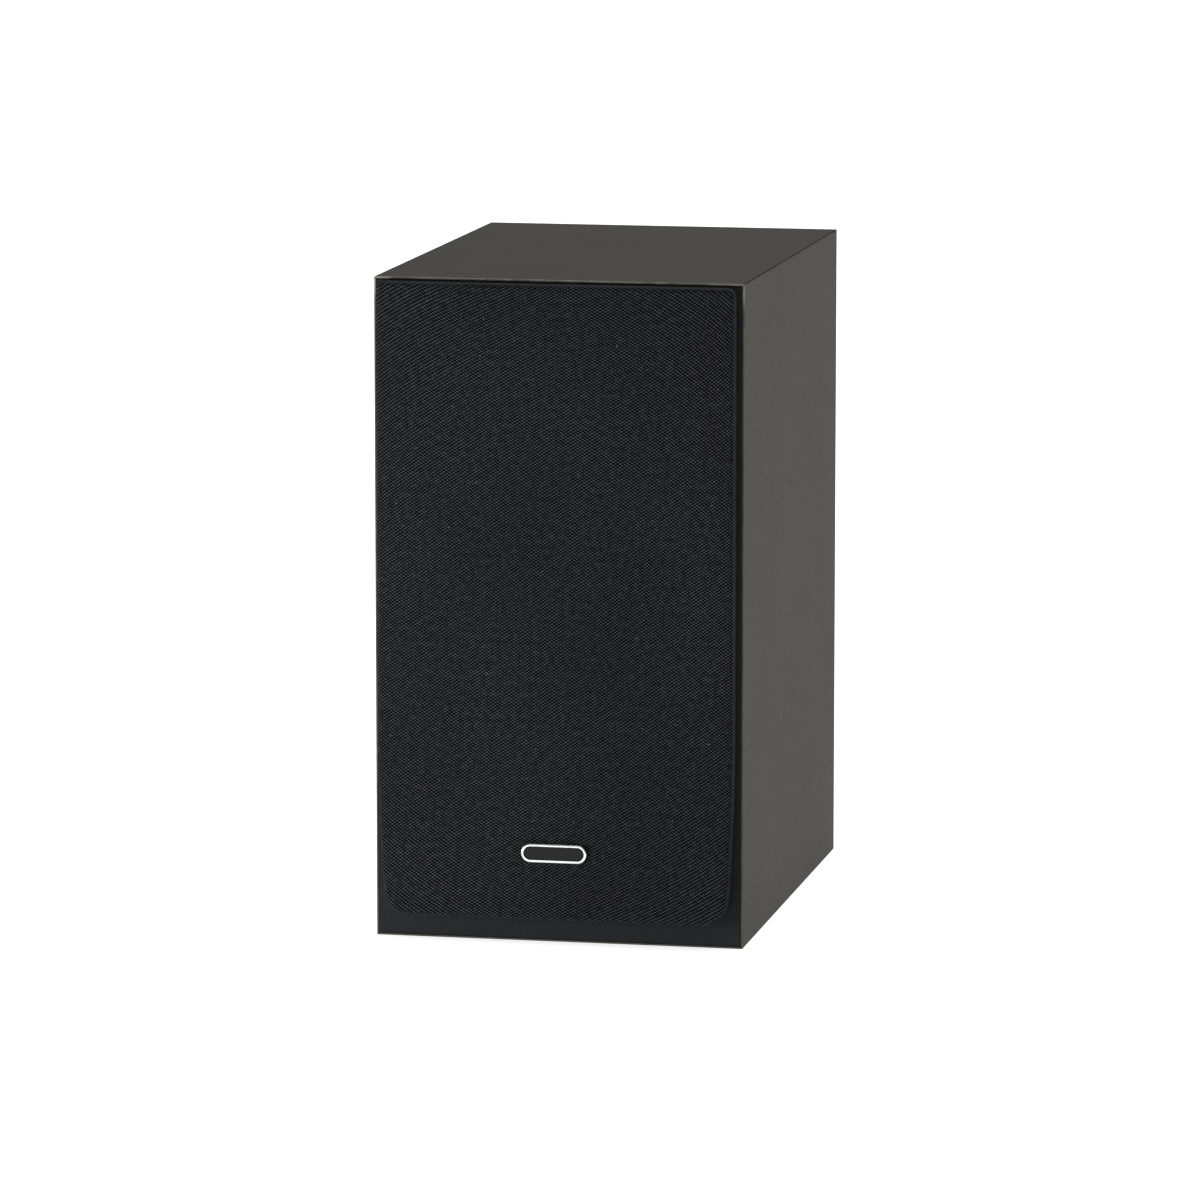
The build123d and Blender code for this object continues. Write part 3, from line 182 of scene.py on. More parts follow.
def vinyl(name, dark, light, grain=0.45 * MM, depth=0.05 * MM, roughness=(0.6, 0.75), lip_highlight=0.0):
    """Laminate with a fine pebbled grain, faint clouding, slightly polished edges and a painted highlight on
    its lip.
    """
    t = Tree(name)
    clouds = t.noise(60 * MM, 2)
    pebbles = t.cells(grain)
    speckle = t.noise(0.5 * MM, 5, 0.7)
    shade = t.math("MULTIPLY_ADD", t.spread(speckle, 0.22, 0.78), 0.8, t.math("MULTIPLY", clouds, 0.2))
    colour = t.mix(t.spread(shade, 0.2, 0.8), linear(dark), linear(light))
    edge = t.edges(0.5 * MM)
    rubbed = t.math("MULTIPLY", t.math("MULTIPLY", edge, t.spread(t.noise(5 * MM), 0.42, 0.62)), EDGE_WEAR)
    colour = t.mix(rubbed, colour, linear("#A09E98"))
    x, y, z = t.parts()
    out = t.math("ADD", t.math("ABSOLUTE", x), t.math("ABSOLUTE", t.math("SUBTRACT", z, MIDDLE_Z)))
    fold = t.spread(out, MITRE - 0.75 * MM, MITRE - 0.35 * MM)
    colour = t.mix(t.math("MULTIPLY", fold, 0.85), colour, linear("#121211"))
    # The lip round the baffle is painted paler as a highlight, faintly all round and most of all along the
    # top, where light from above catches it.
    lip = t.spread(y, FRONT + 0.75 * MM, FRONT + 0.3 * MM)
    high = t.spread(z, LIP_LOW, LIP_HIGH, 0.15 * lip_highlight, lip_highlight)
    patchy = t.spread(t.noise(9 * MM), 0.35, 0.6, 0.5, 1.0)
    painted_lip_highlight = t.math("MULTIPLY", lip, t.math("MULTIPLY", high, patchy))
    colour = t.mix(painted_lip_highlight, colour, linear("#A5A196"))
    gloss = t.spread(t.noise(1.2 * MM, 4), 0.3, 0.7, *roughness)
    relief = t.bump(t.spread(pebbles, 0.05, 0.6), depth, 0.7)
    relief = t.bump(t.noise(0.16 * MM, 3), depth * 0.5, 0.5, relief)
    return t.finish(colour, gloss, relief, specular_ior_level=0.12)


def moulded(name, dark, light, depth=0.02 * MM, roughness=(0.35, 0.5), grain=0.3 * MM, coat=0.0):
    """Moulded plastic: spark-eroded grain, faint flow clouding, and a lighter rub on its edges."""
    t = Tree(name)
    flow = t.noise(18 * MM, 3, place=t.stretched((1, 1, 0.35)))
    colour = t.mix(t.spread(flow, 0.3, 0.7), linear(dark), linear(light))
    colour = t.mix(t.math("MULTIPLY", t.edges(0.35 * MM), 0.14), colour, linear("#8A8A88"))
    gloss = t.spread(t.noise(2.5 * MM, 5), 0.3, 0.7, *roughness)
    return t.finish(colour, gloss, t.bump(t.noise(grain, 3), depth, 0.7), coat_weight=coat)


def rubber(name, dark, light, grain=0.35 * MM, depth=0.03 * MM):
    """Soft black rubber with a dusty bloom."""
    t = Tree(name)
    bloom = t.spread(t.noise(9 * MM, 5), 0.35, 0.75)
    colour = t.mix(bloom, linear(dark), linear(light))
    gloss = t.spread(t.noise(3 * MM, 4), 0.3, 0.7, 0.5, 0.72)
    return t.finish(colour, gloss, t.bump(t.noise(grain, 4), depth, 0.6))


def metal(name, dark, light, roughness, depth=0.008 * MM, along=(1, 1, 1), grain=0.25 * MM):
    """Bare or plated metal: fine tool marks, uneven polish and a faint tarnish."""
    t = Tree(name)
    tarnish = t.spread(t.noise(7 * MM, 4), 0.35, 0.7)
    marks = t.noise(grain, 3, place=t.stretched(along))
    colour = t.mix(tarnish, linear(dark), linear(light))
    gloss = t.spread(marks, 0.3, 0.7, *roughness)
    return t.finish(colour, gloss, t.bump(marks, depth, 0.5), metallic=1.0)


def spun_metal(name, dark, light, roughness, centre_z, pitch=0.12 * MM, depth=0.006 * MM):
    """Aluminium turned or pressed about the driver's axis, with fine rings and a satin lacquer."""
    t = Tree(name)
    x, _, z = t.parts()
    out = t.math("SUBTRACT", z, centre_z)
    radius = t.math("SQRT", t.math("ADD", t.math("MULTIPLY", x, x), t.math("MULTIPLY", out, out)))
    rings = t.math("SINE", t.math("MULTIPLY", radius, 2 * pi / pitch))
    rings = t.math("MULTIPLY", rings, t.spread(radius, 0.5 * MM, 4 * MM))
    wander = t.noise(1.4 * MM, 4)
    height = t.math("MULTIPLY_ADD", rings, 0.25, wander)
    colour = t.mix(t.spread(t.noise(12 * MM, 3), 0.3, 0.7), linear(dark), linear(light))
    gloss = t.spread(height, 0.2, 0.9, *roughness)
    return t.finish(colour, gloss, t.bump(height, depth, 0.35), metallic=1.0)


def raw_board(name):
    """Cut MDF: matted brown fibres with paler flecks."""
    t = Tree(name)
    fibres = t.noise(0.7 * MM, 6, 0.7, place=t.stretched((1, 0.3, 1)))
    blotches = t.noise(14 * MM, 3)
    colour = t.mix(t.spread(fibres, 0.3, 0.7), linear("#8C6B48"), linear("#BC9B72"))
    colour = t.mix(t.math("MULTIPLY", t.spread(blotches, 0.4, 0.7), 0.35), colour, linear("#7A5C3D"))
    return t.finish(colour, t.spread(fibres, 0.2, 0.8, 0.78, 0.95), t.bump(fibres, 0.12 * MM, 0.8))


def wadding(name):
    """Polyester wadding: tangled pale fibres."""
    t = Tree(name)
    tangle = t.noise(1.1 * MM, 8, 0.75)
    strands = t.cells(2.2 * MM, place=t.stretched((1, 0.4, 1)), feature="F2")
    height = t.math("MULTIPLY_ADD", strands, 0.5, tangle)
    colour = t.mix(t.spread(height, 0.4, 1.1), linear("#B9B5A9"), linear("#F0EEE6"))
    gloss = t.spread(tangle, 0.3, 0.7, 0.85, 1.0)
    return t.finish(colour, gloss, t.bump(height, 0.9 * MM, 0.9), sheen_weight=0.4)


def woven(name, dark, light, pitch, depth=0.12 * MM):
    """Resin-dipped cotton, as a spider is pressed from: a plain weave of crossing threads."""
    t = Tree(name)
    x, _, z = t.parts()
    warp = t.math("SINE", t.math("MULTIPLY", x, pi / pitch))
    weft = t.math("SINE", t.math("MULTIPLY", z, pi / pitch))
    over = t.math("MULTIPLY", warp, weft)
    resin = t.noise(6 * MM, 4)
    colour = t.mix(t.spread(over, -0.7, 0.7), linear(dark), linear(light))
    colour = t.mix(t.math("MULTIPLY", t.spread(resin, 0.45, 0.7), 0.3), colour, linear("#6E4E22"))
    return t.finish(colour, t.spread(resin, 0.3, 0.7, 0.55, 0.8), t.bump(t.spread(over, -1, 1), depth, 0.8))


def wound(name, axis, pitch):
    """Enamelled copper wire laid turn by turn along an axis (1 for Y, 2 for Z)."""
    t = Tree(name)
    along = t.parts()[axis]
    turns = t.math("ABSOLUTE", t.math("SINE", t.math("MULTIPLY", along, pi / pitch)))
    patches = t.noise(4 * MM, 3)
    colour = t.mix(t.spread(turns, 0.0, 0.7), linear("#3A1607"), linear("#B8642B"))
    colour = t.mix(t.math("MULTIPLY", t.spread(patches, 0.4, 0.7), 0.4), colour, linear("#8A3E17"))
    return t.finish(
        colour, t.spread(patches, 0.3, 0.7, 0.22, 0.38), t.bump(turns, pitch * 0.4, 0.9), metallic=0.85
    )


def sintered(name, dark, light, roughness=(0.6, 0.85), grain=0.2 * MM, depth=0.03 * MM):
    """Ferrite or cement: a fired, finely pitted surface."""
    t = Tree(name)
    pits = t.noise(grain, 5, 0.7)
    colour = t.mix(t.spread(t.noise(6 * MM, 5), 0.3, 0.7), linear(dark), linear(light))
    colour = t.mix(t.math("MULTIPLY", t.spread(t.cells(1.1 * MM), 0.16, 0.08), 0.5), colour, linear(dark))
    return t.finish(colour, t.spread(pits, 0.3, 0.7, *roughness), t.bump(pits, depth, 0.9))


def insulation(name, dark, light):
    """Wire insulation: smooth extruded PVC with faint draw lines."""
    t = Tree(name)
    lines = t.noise(0.5 * MM, 3, place=t.stretched((1, 1, 0.15)))
    colour = t.mix(t.spread(t.noise(11 * MM, 3), 0.3, 0.7), linear(dark), linear(light))
    return t.finish(colour, t.spread(lines, 0.3, 0.7, 0.28, 0.42), t.bump(lines, 0.02 * MM, 0.5))


def circuit(name):
    """A green solder-masked board with tracks showing through."""
    t = Tree(name)
    tracks = t.cells(7 * MM, feature="DISTANCE_TO_EDGE")
    under = t.spread(tracks, 0.05, 0.09)
    weave = t.noise(0.4 * MM, 2, place=t.stretched((1, 0.3, 1)))
    colour = t.mix(under, linear("#1E4A29"), linear("#3B7B45"))
    colour = t.mix(t.math("MULTIPLY", t.spread(weave, 0.4, 0.7), 0.2), colour, linear("#173820"))
    return t.finish(colour, t.spread(weave, 0.3, 0.7, 0.25, 0.4), t.bump(under, 0.03 * MM, 0.7))


WALE = 2.05 * MM  # one column of holes and its staggered neighbour
COURSE = 0.74 * MM  # from one row of holes to the next
SKEW = 0.05  # the cloth was pulled a little down on its right
WOOFER_Z = 97 * MM  # the height of each driver's axis
TWEETER_Z = 228 * MM


def knit(name):
    """Black grille knit: staggered holes between glossy filaments, with a little lint."""
    t = Tree(name)
    flat = t.nodes.new("ShaderNodeUVMap")
    flat.uv_map = "flat"
    u, v, _ = t.parts(flat.outputs["UV"])
    drift = t.math("MULTIPLY", t.math("SUBTRACT", t.noise(35 * MM, 2, place=flat.outputs["UV"]), 0.5), 2.2)
    across = t.math("ADD", t.math("MULTIPLY", u, 2 * pi / WALE), drift)
    skewed = t.math("MULTIPLY_ADD", u, SKEW, v)
    up = t.math("ADD", t.math("MULTIPLY", skewed, pi / COURSE), t.math("MULTIPLY", drift, 0.5))
    lattice = t.math("MULTIPLY", t.math("COSINE", across), t.math("COSINE", up))
    columns = t.math("COSINE", t.math("MULTIPLY", across, 2.0))
    lattice = t.math("MULTIPLY_ADD", columns, 0.1, lattice)
    uneven = t.noise(2.4 * MM, 2, place=flat.outputs["UV"])
    hole = t.spread(t.math("ADD", lattice, t.math("SUBTRACT", uneven, 0.5)), -0.52, -0.08)
    filaments = t.noise(0.12 * MM, 2, place=t.stretched((1, 0.35, 1), flat.outputs["UV"]))
    yarn = t.mix(t.spread(filaments, 0.3, 0.7), linear("#1A1B1D"), linear("#525457"))
    tone = t.spread(t.noise(90 * MM, 2), 0.3, 0.7)
    yarn = t.mix(t.math("MULTIPLY", tone, 0.3), yarn, linear("#222327"))
    lint = t.math("MULTIPLY", t.spread(t.cells(6 * MM, flat.outputs["UV"]), 0.045, 0.02), 0.5)
    colour = t.mix(hole, yarn, linear("#020203"))
    colour = t.mix(lint, colour, linear("#9A9A98"))
    height = t.math("MULTIPLY_ADD", filaments, 0.18, t.math("SUBTRACT", 1.0, hole))
    gloss = t.spread(filaments, 0.3, 0.7, 0.55, 0.8)
    return t.finish(colour, gloss, t.bump(height, 0.12 * MM, 0.8), specular_ior_level=0.05)


BADGE_FIELD_Y = -133.4 * MM
ENAMEL_EDGE = 0.15 * MM


def badge(name):
    """A bright chrome rim round a field of black enamel that lies below it."""
    t = Tree(name)
    _, y, _ = t.parts()
    enamel = t.spread(y, BADGE_FIELD_Y - 3 * ENAMEL_EDGE, BADGE_FIELD_Y - 2 * ENAMEL_EDGE)
    haze = t.spread(t.noise(2 * MM, 4), 0.3, 0.7)
    colour = t.mix(haze, linear("#C9CCCE"), linear("#EDEEEF"))
    colour = t.mix(enamel, colour, linear("#0A0A0B"))
    plated = t.math("SUBTRACT", 1.0, enamel)
    gloss = t.spread(haze, 0, 1, 0.07, 0.16)
    t.links.new(plated, t.shader.inputs["Metallic"])
    return t.finish(colour, gloss, t.bump(t.noise(0.4 * MM, 3), 0.004 * MM, 0.4), specular_ior_level=0.2)


MATERIALS = {
    "case_vinyl": vinyl("case_vinyl", "#312F29", "#494740", roughness=(0.62, 0.76), lip_highlight=0.8),
    # The baffle's vinyl is painted darker than the case's, as painted shade for the dimmer light on the
    # front.
    "baffle_vinyl": vinyl("baffle_vinyl", "#18191B", "#232426"),
    "raw_board": raw_board("raw_board"),
    "wadding": wadding("wadding"),
    "steel_basket": moulded("steel_basket", "#101112", "#1B1C1E", depth=0.03 * MM, grain=0.5 * MM),
    "black_screw_steel": metal("black_screw_steel", "#0D0D0E", "#2A2A2C", (0.3, 0.5)),
    "foam_gasket": rubber("foam_gasket", "#151515", "#2C2C2B", 0.6 * MM, 0.2 * MM),
    "surround_rubber": rubber("surround_rubber", "#0F0F0F", "#171717"),
    "cone_aluminium": spun_metal("cone_aluminium", "#A9ACAF", "#B2B5B8", (0.28, 0.4), WOOFER_Z),
    "former_film": moulded("former_film", "#8A5619", "#B8802F", roughness=(0.2, 0.3), coat=0.5),
    "copper_winding": wound("copper_winding", 1, 0.25 * MM),
    "inductor_winding": wound("inductor_winding", 2, 0.9 * MM),
    "spider_cloth": woven("spider_cloth", "#8D6A2E", "#C9A45C", 0.7 * MM),
    "zinc_steel": metal("zinc_steel", "#8D9093", "#B3B5B6", (0.25, 0.45), along=(1, 0.2, 1)),
    "ferrite": sintered("ferrite", "#1C1C1D", "#39393A"),
    "tag_board": raw_board("tag_board"),
    "tinsel": metal("tinsel", "#8C5A30", "#C99763", (0.3, 0.5), depth=0.05 * MM, grain=0.5 * MM),
    "black_plastic": moulded("black_plastic", "#111112", "#1C1C1D"),
    "tweeter_plate": spun_metal("tweeter_plate", "#3F4144", "#45474A", (0.34, 0.46), TWEETER_Z),
    "dome_aluminium": spun_metal("dome_aluminium", "#B5B8BB", "#D2D4D6", (0.16, 0.28), TWEETER_Z),
    "gold_plate": metal("gold_plate", "#C18F34", "#E4BC5E", (0.14, 0.3)),
    "red_plastic": moulded("red_plastic", "#8E0E0E", "#B51A1A", roughness=(0.18, 0.3), coat=0.3),
    "circuit_board": circuit("circuit_board"),
    "nylon": moulded("nylon", "#D6D2C4", "#ECE9DE", roughness=(0.4, 0.55)),
    "capacitor_film": moulded("capacitor_film", "#A8841A", "#D6AF30", roughness=(0.2, 0.32), coat=0.4),
    "resistor_cement": sintered("resistor_cement", "#CFCBBF", "#EFECE3"),
    "red_insulation": insulation("red_insulation", "#8C1414", "#B32020"),
    "black_insulation": insulation("black_insulation", "#0E0E0E", "#1D1D1D"),
    "grille_knit": knit("grille_knit"),
    "socket_rubber": rubber("socket_rubber", "#0E0E0E", "#1E1E1E"),
    "badge_chrome": badge("badge_chrome"),
}
SLOT_OF = {row["node"]: row["material_slot"] for row in frame["record"]["subparts"]}


def dress(obj, slot_name):
    """Gives a piece the material of one of the record's slots."""
    obj.data.materials.clear()
    obj.data.materials.append(MATERIALS[slot_name])


for node_name, node_object in frame["nodes"].items():
    dress(node_object, SLOT_OF[node_name])


# ---------------------------------------------------------------- new pieces
def piece(name, points, faces, slot_name):
    """A smooth mesh piece in the shared frame, with its slot's material."""
    mesh = bpy.data.meshes.new(name)
    mesh.from_pydata(points, [], faces)
    mesh.update()
    mesh.polygons.foreach_set("use_smooth", [True] * len(mesh.polygons))
    obj = bpy.data.objects.new(name, mesh)
    bpy.context.scene.collection.objects.link(obj)
    dress(obj, slot_name)
    return obj


def apply_modifiers(obj):
    """Makes a piece's modifiers part of its mesh."""
    graph = bpy.context.evaluated_depsgraph_get()
    mesh = bpy.data.meshes.new_from_object(
        obj.evaluated_get(graph), preserve_all_data_layers=True, depsgraph=graph
    )
    obj.modifiers.clear()
    obj.data = mesh


# The grille's outline, which the cloth is pulled over.
GRILLE_TOP = 298.4 * MM
GRILLE_BOTTOM = 11.5 * MM
GRILLE_HALF = 81.2 * MM
TAPER_Z = 95 * MM
FOOT_HALF = 78 * MM
TOP_R = 3.6 * MM
FOOT_R = 12 * MM
# How many steps each stretch of half the outline is drawn in, and the whole bottom edge.
FOOT_STEPS, TAPER_STEPS, SIDE_STEPS, CORNER_STEPS, TOP_STEPS, BOTTOM_STEPS = 24, 60, 150, 16, 55, 100

# The cloth.
CLOTH_BACK = -122.8 * MM
CLOTH_FACE = -132.5 * MM
CLOTH_EDGE_R = 1.8 * MM
CLOTH_T = 0.7 * MM
CLOTH_GIVE = 0.35 * MM  # how far the face sinks into the frame's opening
SPINE_LOW, SPINE_HIGH = 95 * MM, 215 * MM  # the face's rings close on an upright line between these
WALL_RINGS, ROLL_RINGS, FACE_RINGS = 5, 8, 26
CROWDING = 1.3  # above 1, the face's rings lie closer together near its edge
WELD = 0.02 * MM
FAN = 17 * MM  # how far a wale is carried sideways at the top and the foot
BOW = 5 * MM  # how far a course is carried up at the top


def arc(centre, radius, start, end, count):
    """Points of an arc in the (x, z) plane, angles in degrees."""
    angles = [(start + (end - start) * i / count) * pi / 180 for i in range(count + 1)]
    return [(centre[0] + radius * cos(a), centre[1] + radius * sin(a)) for a in angles]


def grille_outline():
    """Points round the grille's outline in (x, z), anticlockwise from the front, closest at the corners."""
    drop = TAPER_Z - GRILLE_BOTTOM
    inward = GRILLE_HALF - FOOT_HALF
    taper_r = (drop**2 + inward**2) / (2 * inward)
    centre_x = GRILLE_HALF - taper_r
    # The foot's corner arc touches both the tapering side and the straight bottom edge.
    foot_z = GRILLE_BOTTOM + FOOT_R
    fall = TAPER_Z - foot_z
    foot_x = centre_x + ((taper_r - FOOT_R) ** 2 - fall**2) ** 0.5
    lean = np.degrees(np.arctan2(-fall, foot_x - centre_x))
    rise = GRILLE_TOP - TOP_R - TAPER_Z
    half_top = GRILLE_HALF - TOP_R
    right = arc((foot_x, foot_z), FOOT_R, -90, lean, FOOT_STEPS)
    right += arc((centre_x, TAPER_Z), taper_r, lean, 0, TAPER_STEPS)[1:]
    right += [(GRILLE_HALF, TAPER_Z + rise * i / SIDE_STEPS) for i in range(1, SIDE_STEPS)]
    right += arc((half_top, GRILLE_TOP - TOP_R), TOP_R, 0, 90, CORNER_STEPS)
    right += [(half_top * (1 - i / TOP_STEPS), GRILLE_TOP) for i in range(1, TOP_STEPS + 1)]
    left = [(-x, z) for x, z in reversed(right[:-1])]
    bottom = [(-foot_x + 2 * foot_x * i / BOTTOM_STEPS, GRILLE_BOTTOM) for i in range(1, BOTTOM_STEPS)]
    return np.array(right + left + bottom)


def inward_normals(loop):
    """Unit vectors pointing into a closed anticlockwise loop."""
    along = np.roll(loop, -1, axis=0) - np.roll(loop, 1, axis=0)
    along /= np.linalg.norm(along, axis=1)[:, None]
    return np.stack([-along[:, 1], along[:, 0]], axis=1)


def cloth_rings():
    """The cloth's rings as (outline, y), from its back edge to the middle of its face, and each laid flat."""
    loop = grille_outline()
    inward = inward_normals(loop)
    rings, flat_rings = [], []
    wall = CLOTH_BACK - (CLOTH_FACE + CLOTH_EDGE_R)
    reach = wall + CLOTH_EDGE_R * pi / 2
    for i in range(WALL_RINGS + 1):
        share = i / WALL_RINGS
        rings.append((loop, CLOTH_BACK - wall * share))
        flat_rings.append(loop + inward * (CLOTH_EDGE_R - reach + wall * share))
    for i in range(1, ROLL_RINGS + 1):
        turn = i / ROLL_RINGS * pi / 2
        inset = CLOTH_EDGE_R * (1 - cos(turn))
        rings.append((loop + inward * inset, CLOTH_FACE + CLOTH_EDGE_R * (1 - sin(turn))))
        flat_rings.append(loop + inward * (CLOTH_EDGE_R - reach + wall + CLOTH_EDGE_R * turn))
    edge_loop = rings[-1][0]
    spine = np.stack([edge_loop[:, 0] * 0, np.clip(edge_loop[:, 1], SPINE_LOW, SPINE_HIGH)], axis=1)
    for i in range(1, FACE_RINGS + 1):
        share = (i / FACE_RINGS) ** CROWDING
        ring = edge_loop * (1 - share) + spine * share
        rings.append((ring, CLOTH_FACE + CLOTH_GIVE * min(1, share * 3) ** 2))
        flat_rings.append(ring)
    return rings, flat_rings


def map_knit(cloth, flat):
    """Gives each corner of the cloth's mesh its place on the knit, in metres, from its points laid flat."""
    # The cloth is stretched most at its corners, so its wales fan out and its courses bow towards them.
    side, rise = flat[:, 0] / GRILLE_HALF, (flat[:, 1] - MIDDLE_Z) / MIDDLE_Z
    fan = -FAN * rise**2 * (side - 0.4 * side**5)
    bow = BOW * rise**3 * (1 - 2.4 * side**2)
    flat = flat + np.stack([fan, bow], axis=1)
    layer = cloth.data.uv_layers.new(name="flat")
    corners = np.zeros(len(cloth.data.loops), int)
    cloth.data.loops.foreach_get("vertex_index", corners)
    layer.data.foreach_set("uv", flat[corners].astype(np.float32).ravel())


def grille_cloth():
    """Knit pulled over the frame: a wall, a rolled edge and a face that gives a little in the middle."""
    rings, flat_rings = cloth_rings()
    count = len(rings[0][0])
    points = [(x, y, z) for ring, y in rings for x, z in ring]
    faces = [
        (r * count + k, r * count + (k + 1) % count, (r + 1) * count + (k + 1) % count, (r + 1) * count + k)
        for r in range(len(rings) - 1)
        for k in range(count)
    ]
    cloth = piece("grille_cloth_knit", points, faces, "grille_knit")
    map_knit(cloth, np.concatenate(flat_rings))
    edit = bmesh.new()
    edit.from_mesh(cloth.data)
    bmesh.ops.remove_doubles(edit, verts=edit.verts, dist=WELD)
    bmesh.ops.dissolve_degenerate(edit, edges=edit.edges, dist=0.001 * MM)
    bmesh.ops.recalc_face_normals(edit, faces=edit.faces)
    edit.to_mesh(cloth.data)
    edit.free()
    # The sheet is open, so its normals may come out facing the frame.
    if sum(p.normal.y for p in cloth.data.polygons) > 0:
        cloth.data.flip_normals()
    thick = cloth.modifiers.new("thickness", "SOLIDIFY")
    thick.thickness = CLOTH_T
    thick.offset = -1
    thick.use_even_offset = True
    apply_modifiers(cloth)
    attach(cloth, "grille")
    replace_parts(cloth, "grille_cloth")


LINING_T = 12 * MM
PAD_CELL = 3.2 * MM
LUMPS_PER_METRE = 55
LUMP_RISE = 1.6 * MM
RAGS_PER_METRE = 90
RAGGED = 0.025  # how far the outline wanders inwards, as a share of its distance from the middle
DRAWN_IN = 0.012  # how far all of it is drawn in, as the same share
RIM_RISE, CROWN_RISE = 0.30, 0.58  # shares of the thickness at the pinched rim, and more towards the middle
PAD_BACK = 0.05 * MM  # between the wall and the pad


def wadding_pad(name, low, high, axis, wall_at):
    """A lumpy, crowned sheet of wadding in the box low..high, thin along axis, on the wall at wall_at."""
    spans = [i for i in range(3) if i != axis]
    size = [high[i] - low[i] for i in range(3)]
    middle = [(low[k] + high[k]) / 2 for k in spans]
    counts = [max(8, int(size[i] / PAD_CELL)) for i in spans]
    thickness = size[axis]
    sign = 1 if wall_at == low[axis] else -1
    points, faces = [], []
    index = {}
    for layer in (0, 1):
        for i in range(counts[0] + 1):
            for j in range(counts[1] + 1):
                a, b = i / counts[0], j / counts[1]
                rim = min(a, 1 - a, b, 1 - b)
                pinch = min(1, rim * 9) ** 0.5
                p = [0.0, 0.0, 0.0]
                p[spans[0]] = low[spans[0]] + a * size[spans[0]]
                p[spans[1]] = low[spans[1]] + b * size[spans[1]]
                lump = noise.fractal(Vector(p) * LUMPS_PER_METRE, 0.6, 2.0, 4)
                ragged = 1 - RAGGED * abs(noise.noise(Vector(p) * RAGS_PER_METRE)) - DRAWN_IN
                for k, s in enumerate(spans):
                    p[s] = middle[k] + (p[s] - middle[k]) * ragged
                if layer:
                    rise = thickness * (RIM_RISE + CROWN_RISE * pinch) + lump * LUMP_RISE * pinch
                    p[axis] = wall_at + sign * max(0.15, min(0.985, rise / thickness)) * thickness
                else:
                    p[axis] = wall_at + sign * PAD_BACK
                index[layer, i, j] = len(points)
                points.append(tuple(p))
    for i in range(counts[0]):
        for j in range(counts[1]):
            for layer in (0, 1):
                corners = ((i, j), (i + 1, j), (i + 1, j + 1), (i, j + 1))
                faces.append([index[(layer, *corner)] for corner in corners])
    edge = [(i, 0) for i in range(counts[0])] + [(counts[0], j) for j in range(counts[1])]
    edge += [(i, counts[1]) for i in range(counts[0], 0, -1)] + [(0, j) for j in range(counts[1], 0, -1)]
    for k, here in enumerate(edge):
        there = edge[(k + 1) % len(edge)]
        faces.append([index[(0, *here)], index[(0, *there)], index[(1, *there)], index[(1, *here)]])
    obj = piece(name, points, faces, "wadding")
    edit = bmesh.new()
    edit.from_mesh(obj.data)
    bmesh.ops.recalc_face_normals(edit, faces=edit.faces)
    edit.to_mesh(obj.data)
    edit.free()
    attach(obj, "cabinet")
    return obj


grille_cloth()

low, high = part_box("side_linings")
right_lining = wadding_pad("right_wadding", (high.x - LINING_T, low.y, low.z), tuple(high), 0, high.x)
left_lining = wadding_pad("left_wadding", tuple(low), (low.x + LINING_T, high.y, high.z), 0, low.x)
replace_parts(right_lining, "side_linings")
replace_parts(left_lining, "side_linings")
low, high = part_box("top_lining")
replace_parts(wadding_pad("top_wadding", tuple(low), tuple(high), 2, high.z), "top_lining")


def flexing(node):
    """A copy of a CAD ring or lead in its slot's material, which takes the CAD part's place.
    """
    source = frame["nodes"][node]
    obj = bpy.data.objects.new(node + "_flexing", source.data.copy())
    bpy.context.scene.collection.objects.link(obj)
    dress(obj, SLOT_OF[node])
    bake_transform(obj)
    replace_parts(obj, node)


flexing(
    "woofer_surround",
)
flexing(
    "woofer_spider",
)
flexing(
    "woofer_tinsel_leads",
)
flexing(
    "tweeter_surround",
)


# ---------------------------------------------------------------- studio
def area_light(name, place, aim, size, power):
    """A large soft light at place, aimed at a point."""
    data = bpy.data.lights.new(name, "AREA")
    data.shape = "RECTANGLE"
    data.size, data.size_y = size
    data.energy = power
    obj = bpy.data.objects.new(name, data)
    obj.location = place
    obj.rotation_euler = (Vector(aim) - Vector(place)).to_track_quat("-Z", "Y").to_euler()
    bpy.context.scene.collection.objects.link(obj)


FLOOR_HALF = 12
FLOOR_DROP = 0.05 * MM  # keeps the floor off the underside of the case
PAPER_GLOW = 0.72  # makes the floor as white as the photograph's
SKY_STRENGTH = 0.3


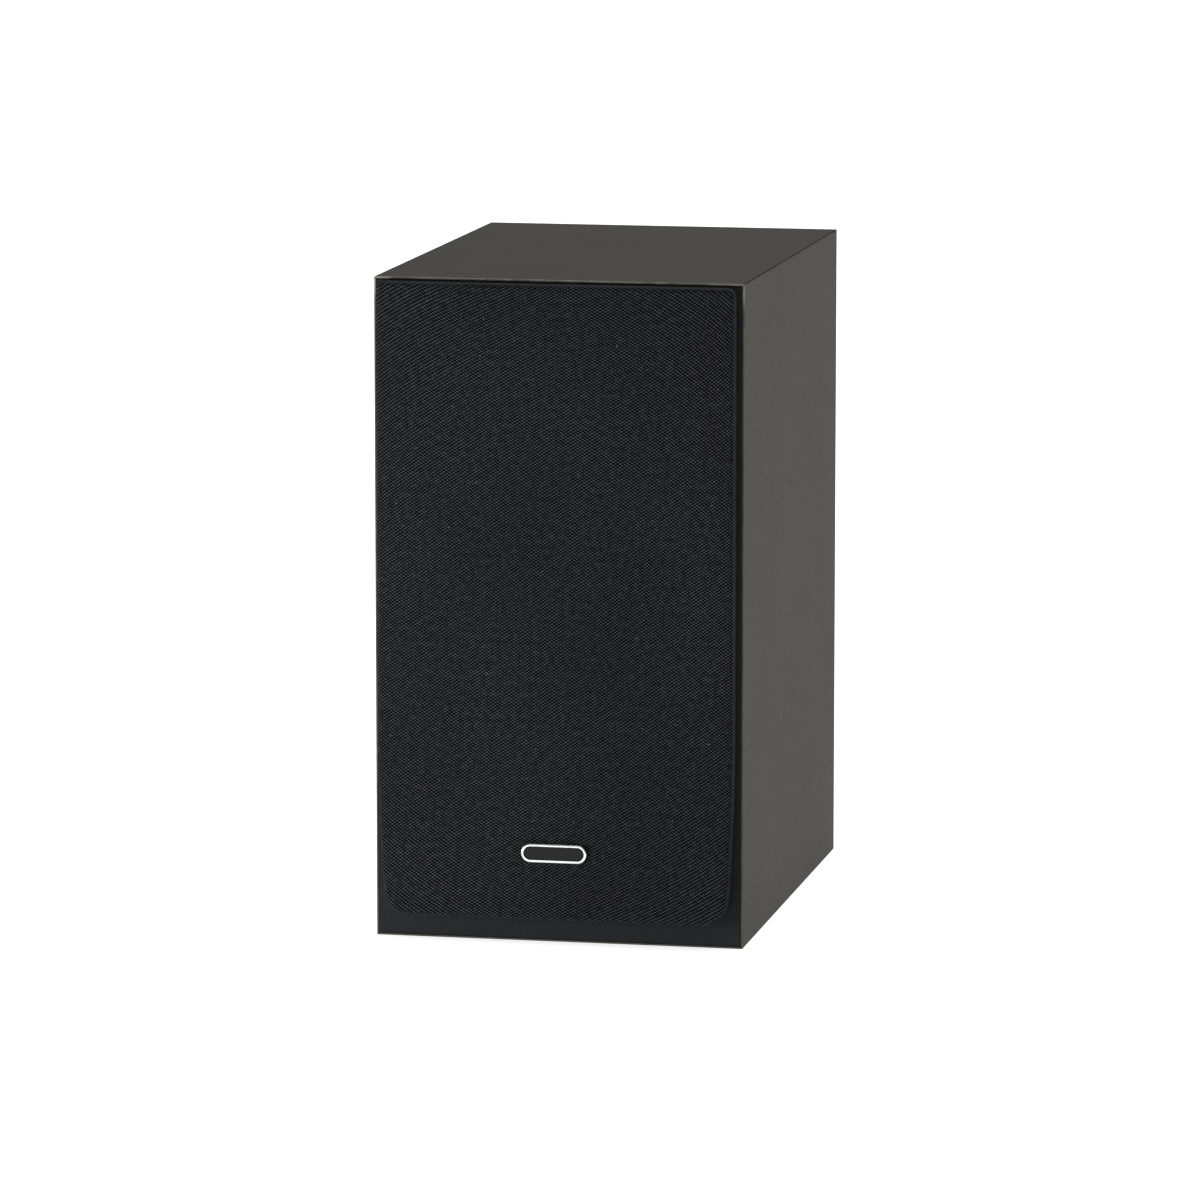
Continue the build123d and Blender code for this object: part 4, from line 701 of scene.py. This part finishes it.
def studio():
    """A plain pale floor, soft light from above and the right, and a small light low on the left."""
    mesh = bpy.data.meshes.new("floor")
    edit = bmesh.new()
    bmesh.ops.create_grid(edit, x_segments=8, y_segments=8, size=FLOOR_HALF)
    edit.to_mesh(mesh)
    edit.free()
    floor = bpy.data.objects.new("floor", mesh)
    floor.location.z = -FLOOR_DROP
    bpy.context.scene.collection.objects.link(floor)
    t = Tree("floor_paper")
    t.shader.inputs["Emission Color"].default_value = (1, 1, 1, 1)
    paper = t.noise(0.5 * MM, 3)
    shade = t.mix(paper, linear("#F2F2F1"), linear("#F7F7F6"))
    floor.data.materials.append(t.finish(shade, 0.9, emission_strength=PAPER_GLOW))

    world = bpy.data.worlds.new("studio")
    bpy.context.scene.world = world
    world.use_nodes = True
    sky = world.node_tree.nodes["Background"]
    sky.inputs["Color"].default_value = (1, 1, 1, 1)
    sky.inputs["Strength"].default_value = SKY_STRENGTH
    area_light("overhead_softbox", (0.3, 1.2, 3.2), (0, 0.6, 0), (4.5, 4.5), 94)
    area_light("right_softbox", (1.2, 1.1, 0.5), (0, 0.1, 0.12), (0.9, 0.9), 1.2)
    area_light("low_left_fill", (-0.42, -0.5, 0.1), (0, -0.1, 0.1), (0.14, 0.14), 1.9)


# The photograph's viewpoint, as the case's corners give it.
CAMERA_PLACE = Vector((0.6437, -3.2045, 0.6432))
CAMERA_TURN = 0.2  # radians round to the speaker's right
CAMERA_LIFT = 0.1535  # radians above level
SENSOR = 36
LENS = 213.4


def camera():
    """The photograph's own viewpoint."""
    data = bpy.data.cameras.new("camera")
    data.sensor_width = SENSOR
    data.lens = LENS
    data.clip_end = 60
    obj = bpy.data.objects.new("camera", data)
    level = cos(CAMERA_LIFT)
    back = Vector((sin(CAMERA_TURN) * level, -cos(CAMERA_TURN) * level, sin(CAMERA_LIFT)))
    right = Vector((cos(CAMERA_TURN), sin(CAMERA_TURN), 0))
    up = back.cross(right)
    turn = Matrix((right, up, back)).transposed().to_4x4()
    obj.matrix_world = Matrix.Translation(CAMERA_PLACE) @ turn
    bpy.context.scene.collection.objects.link(obj)
    bpy.context.scene.camera = obj


studio()
camera()
bpy.context.scene.view_settings.view_transform = "Standard"
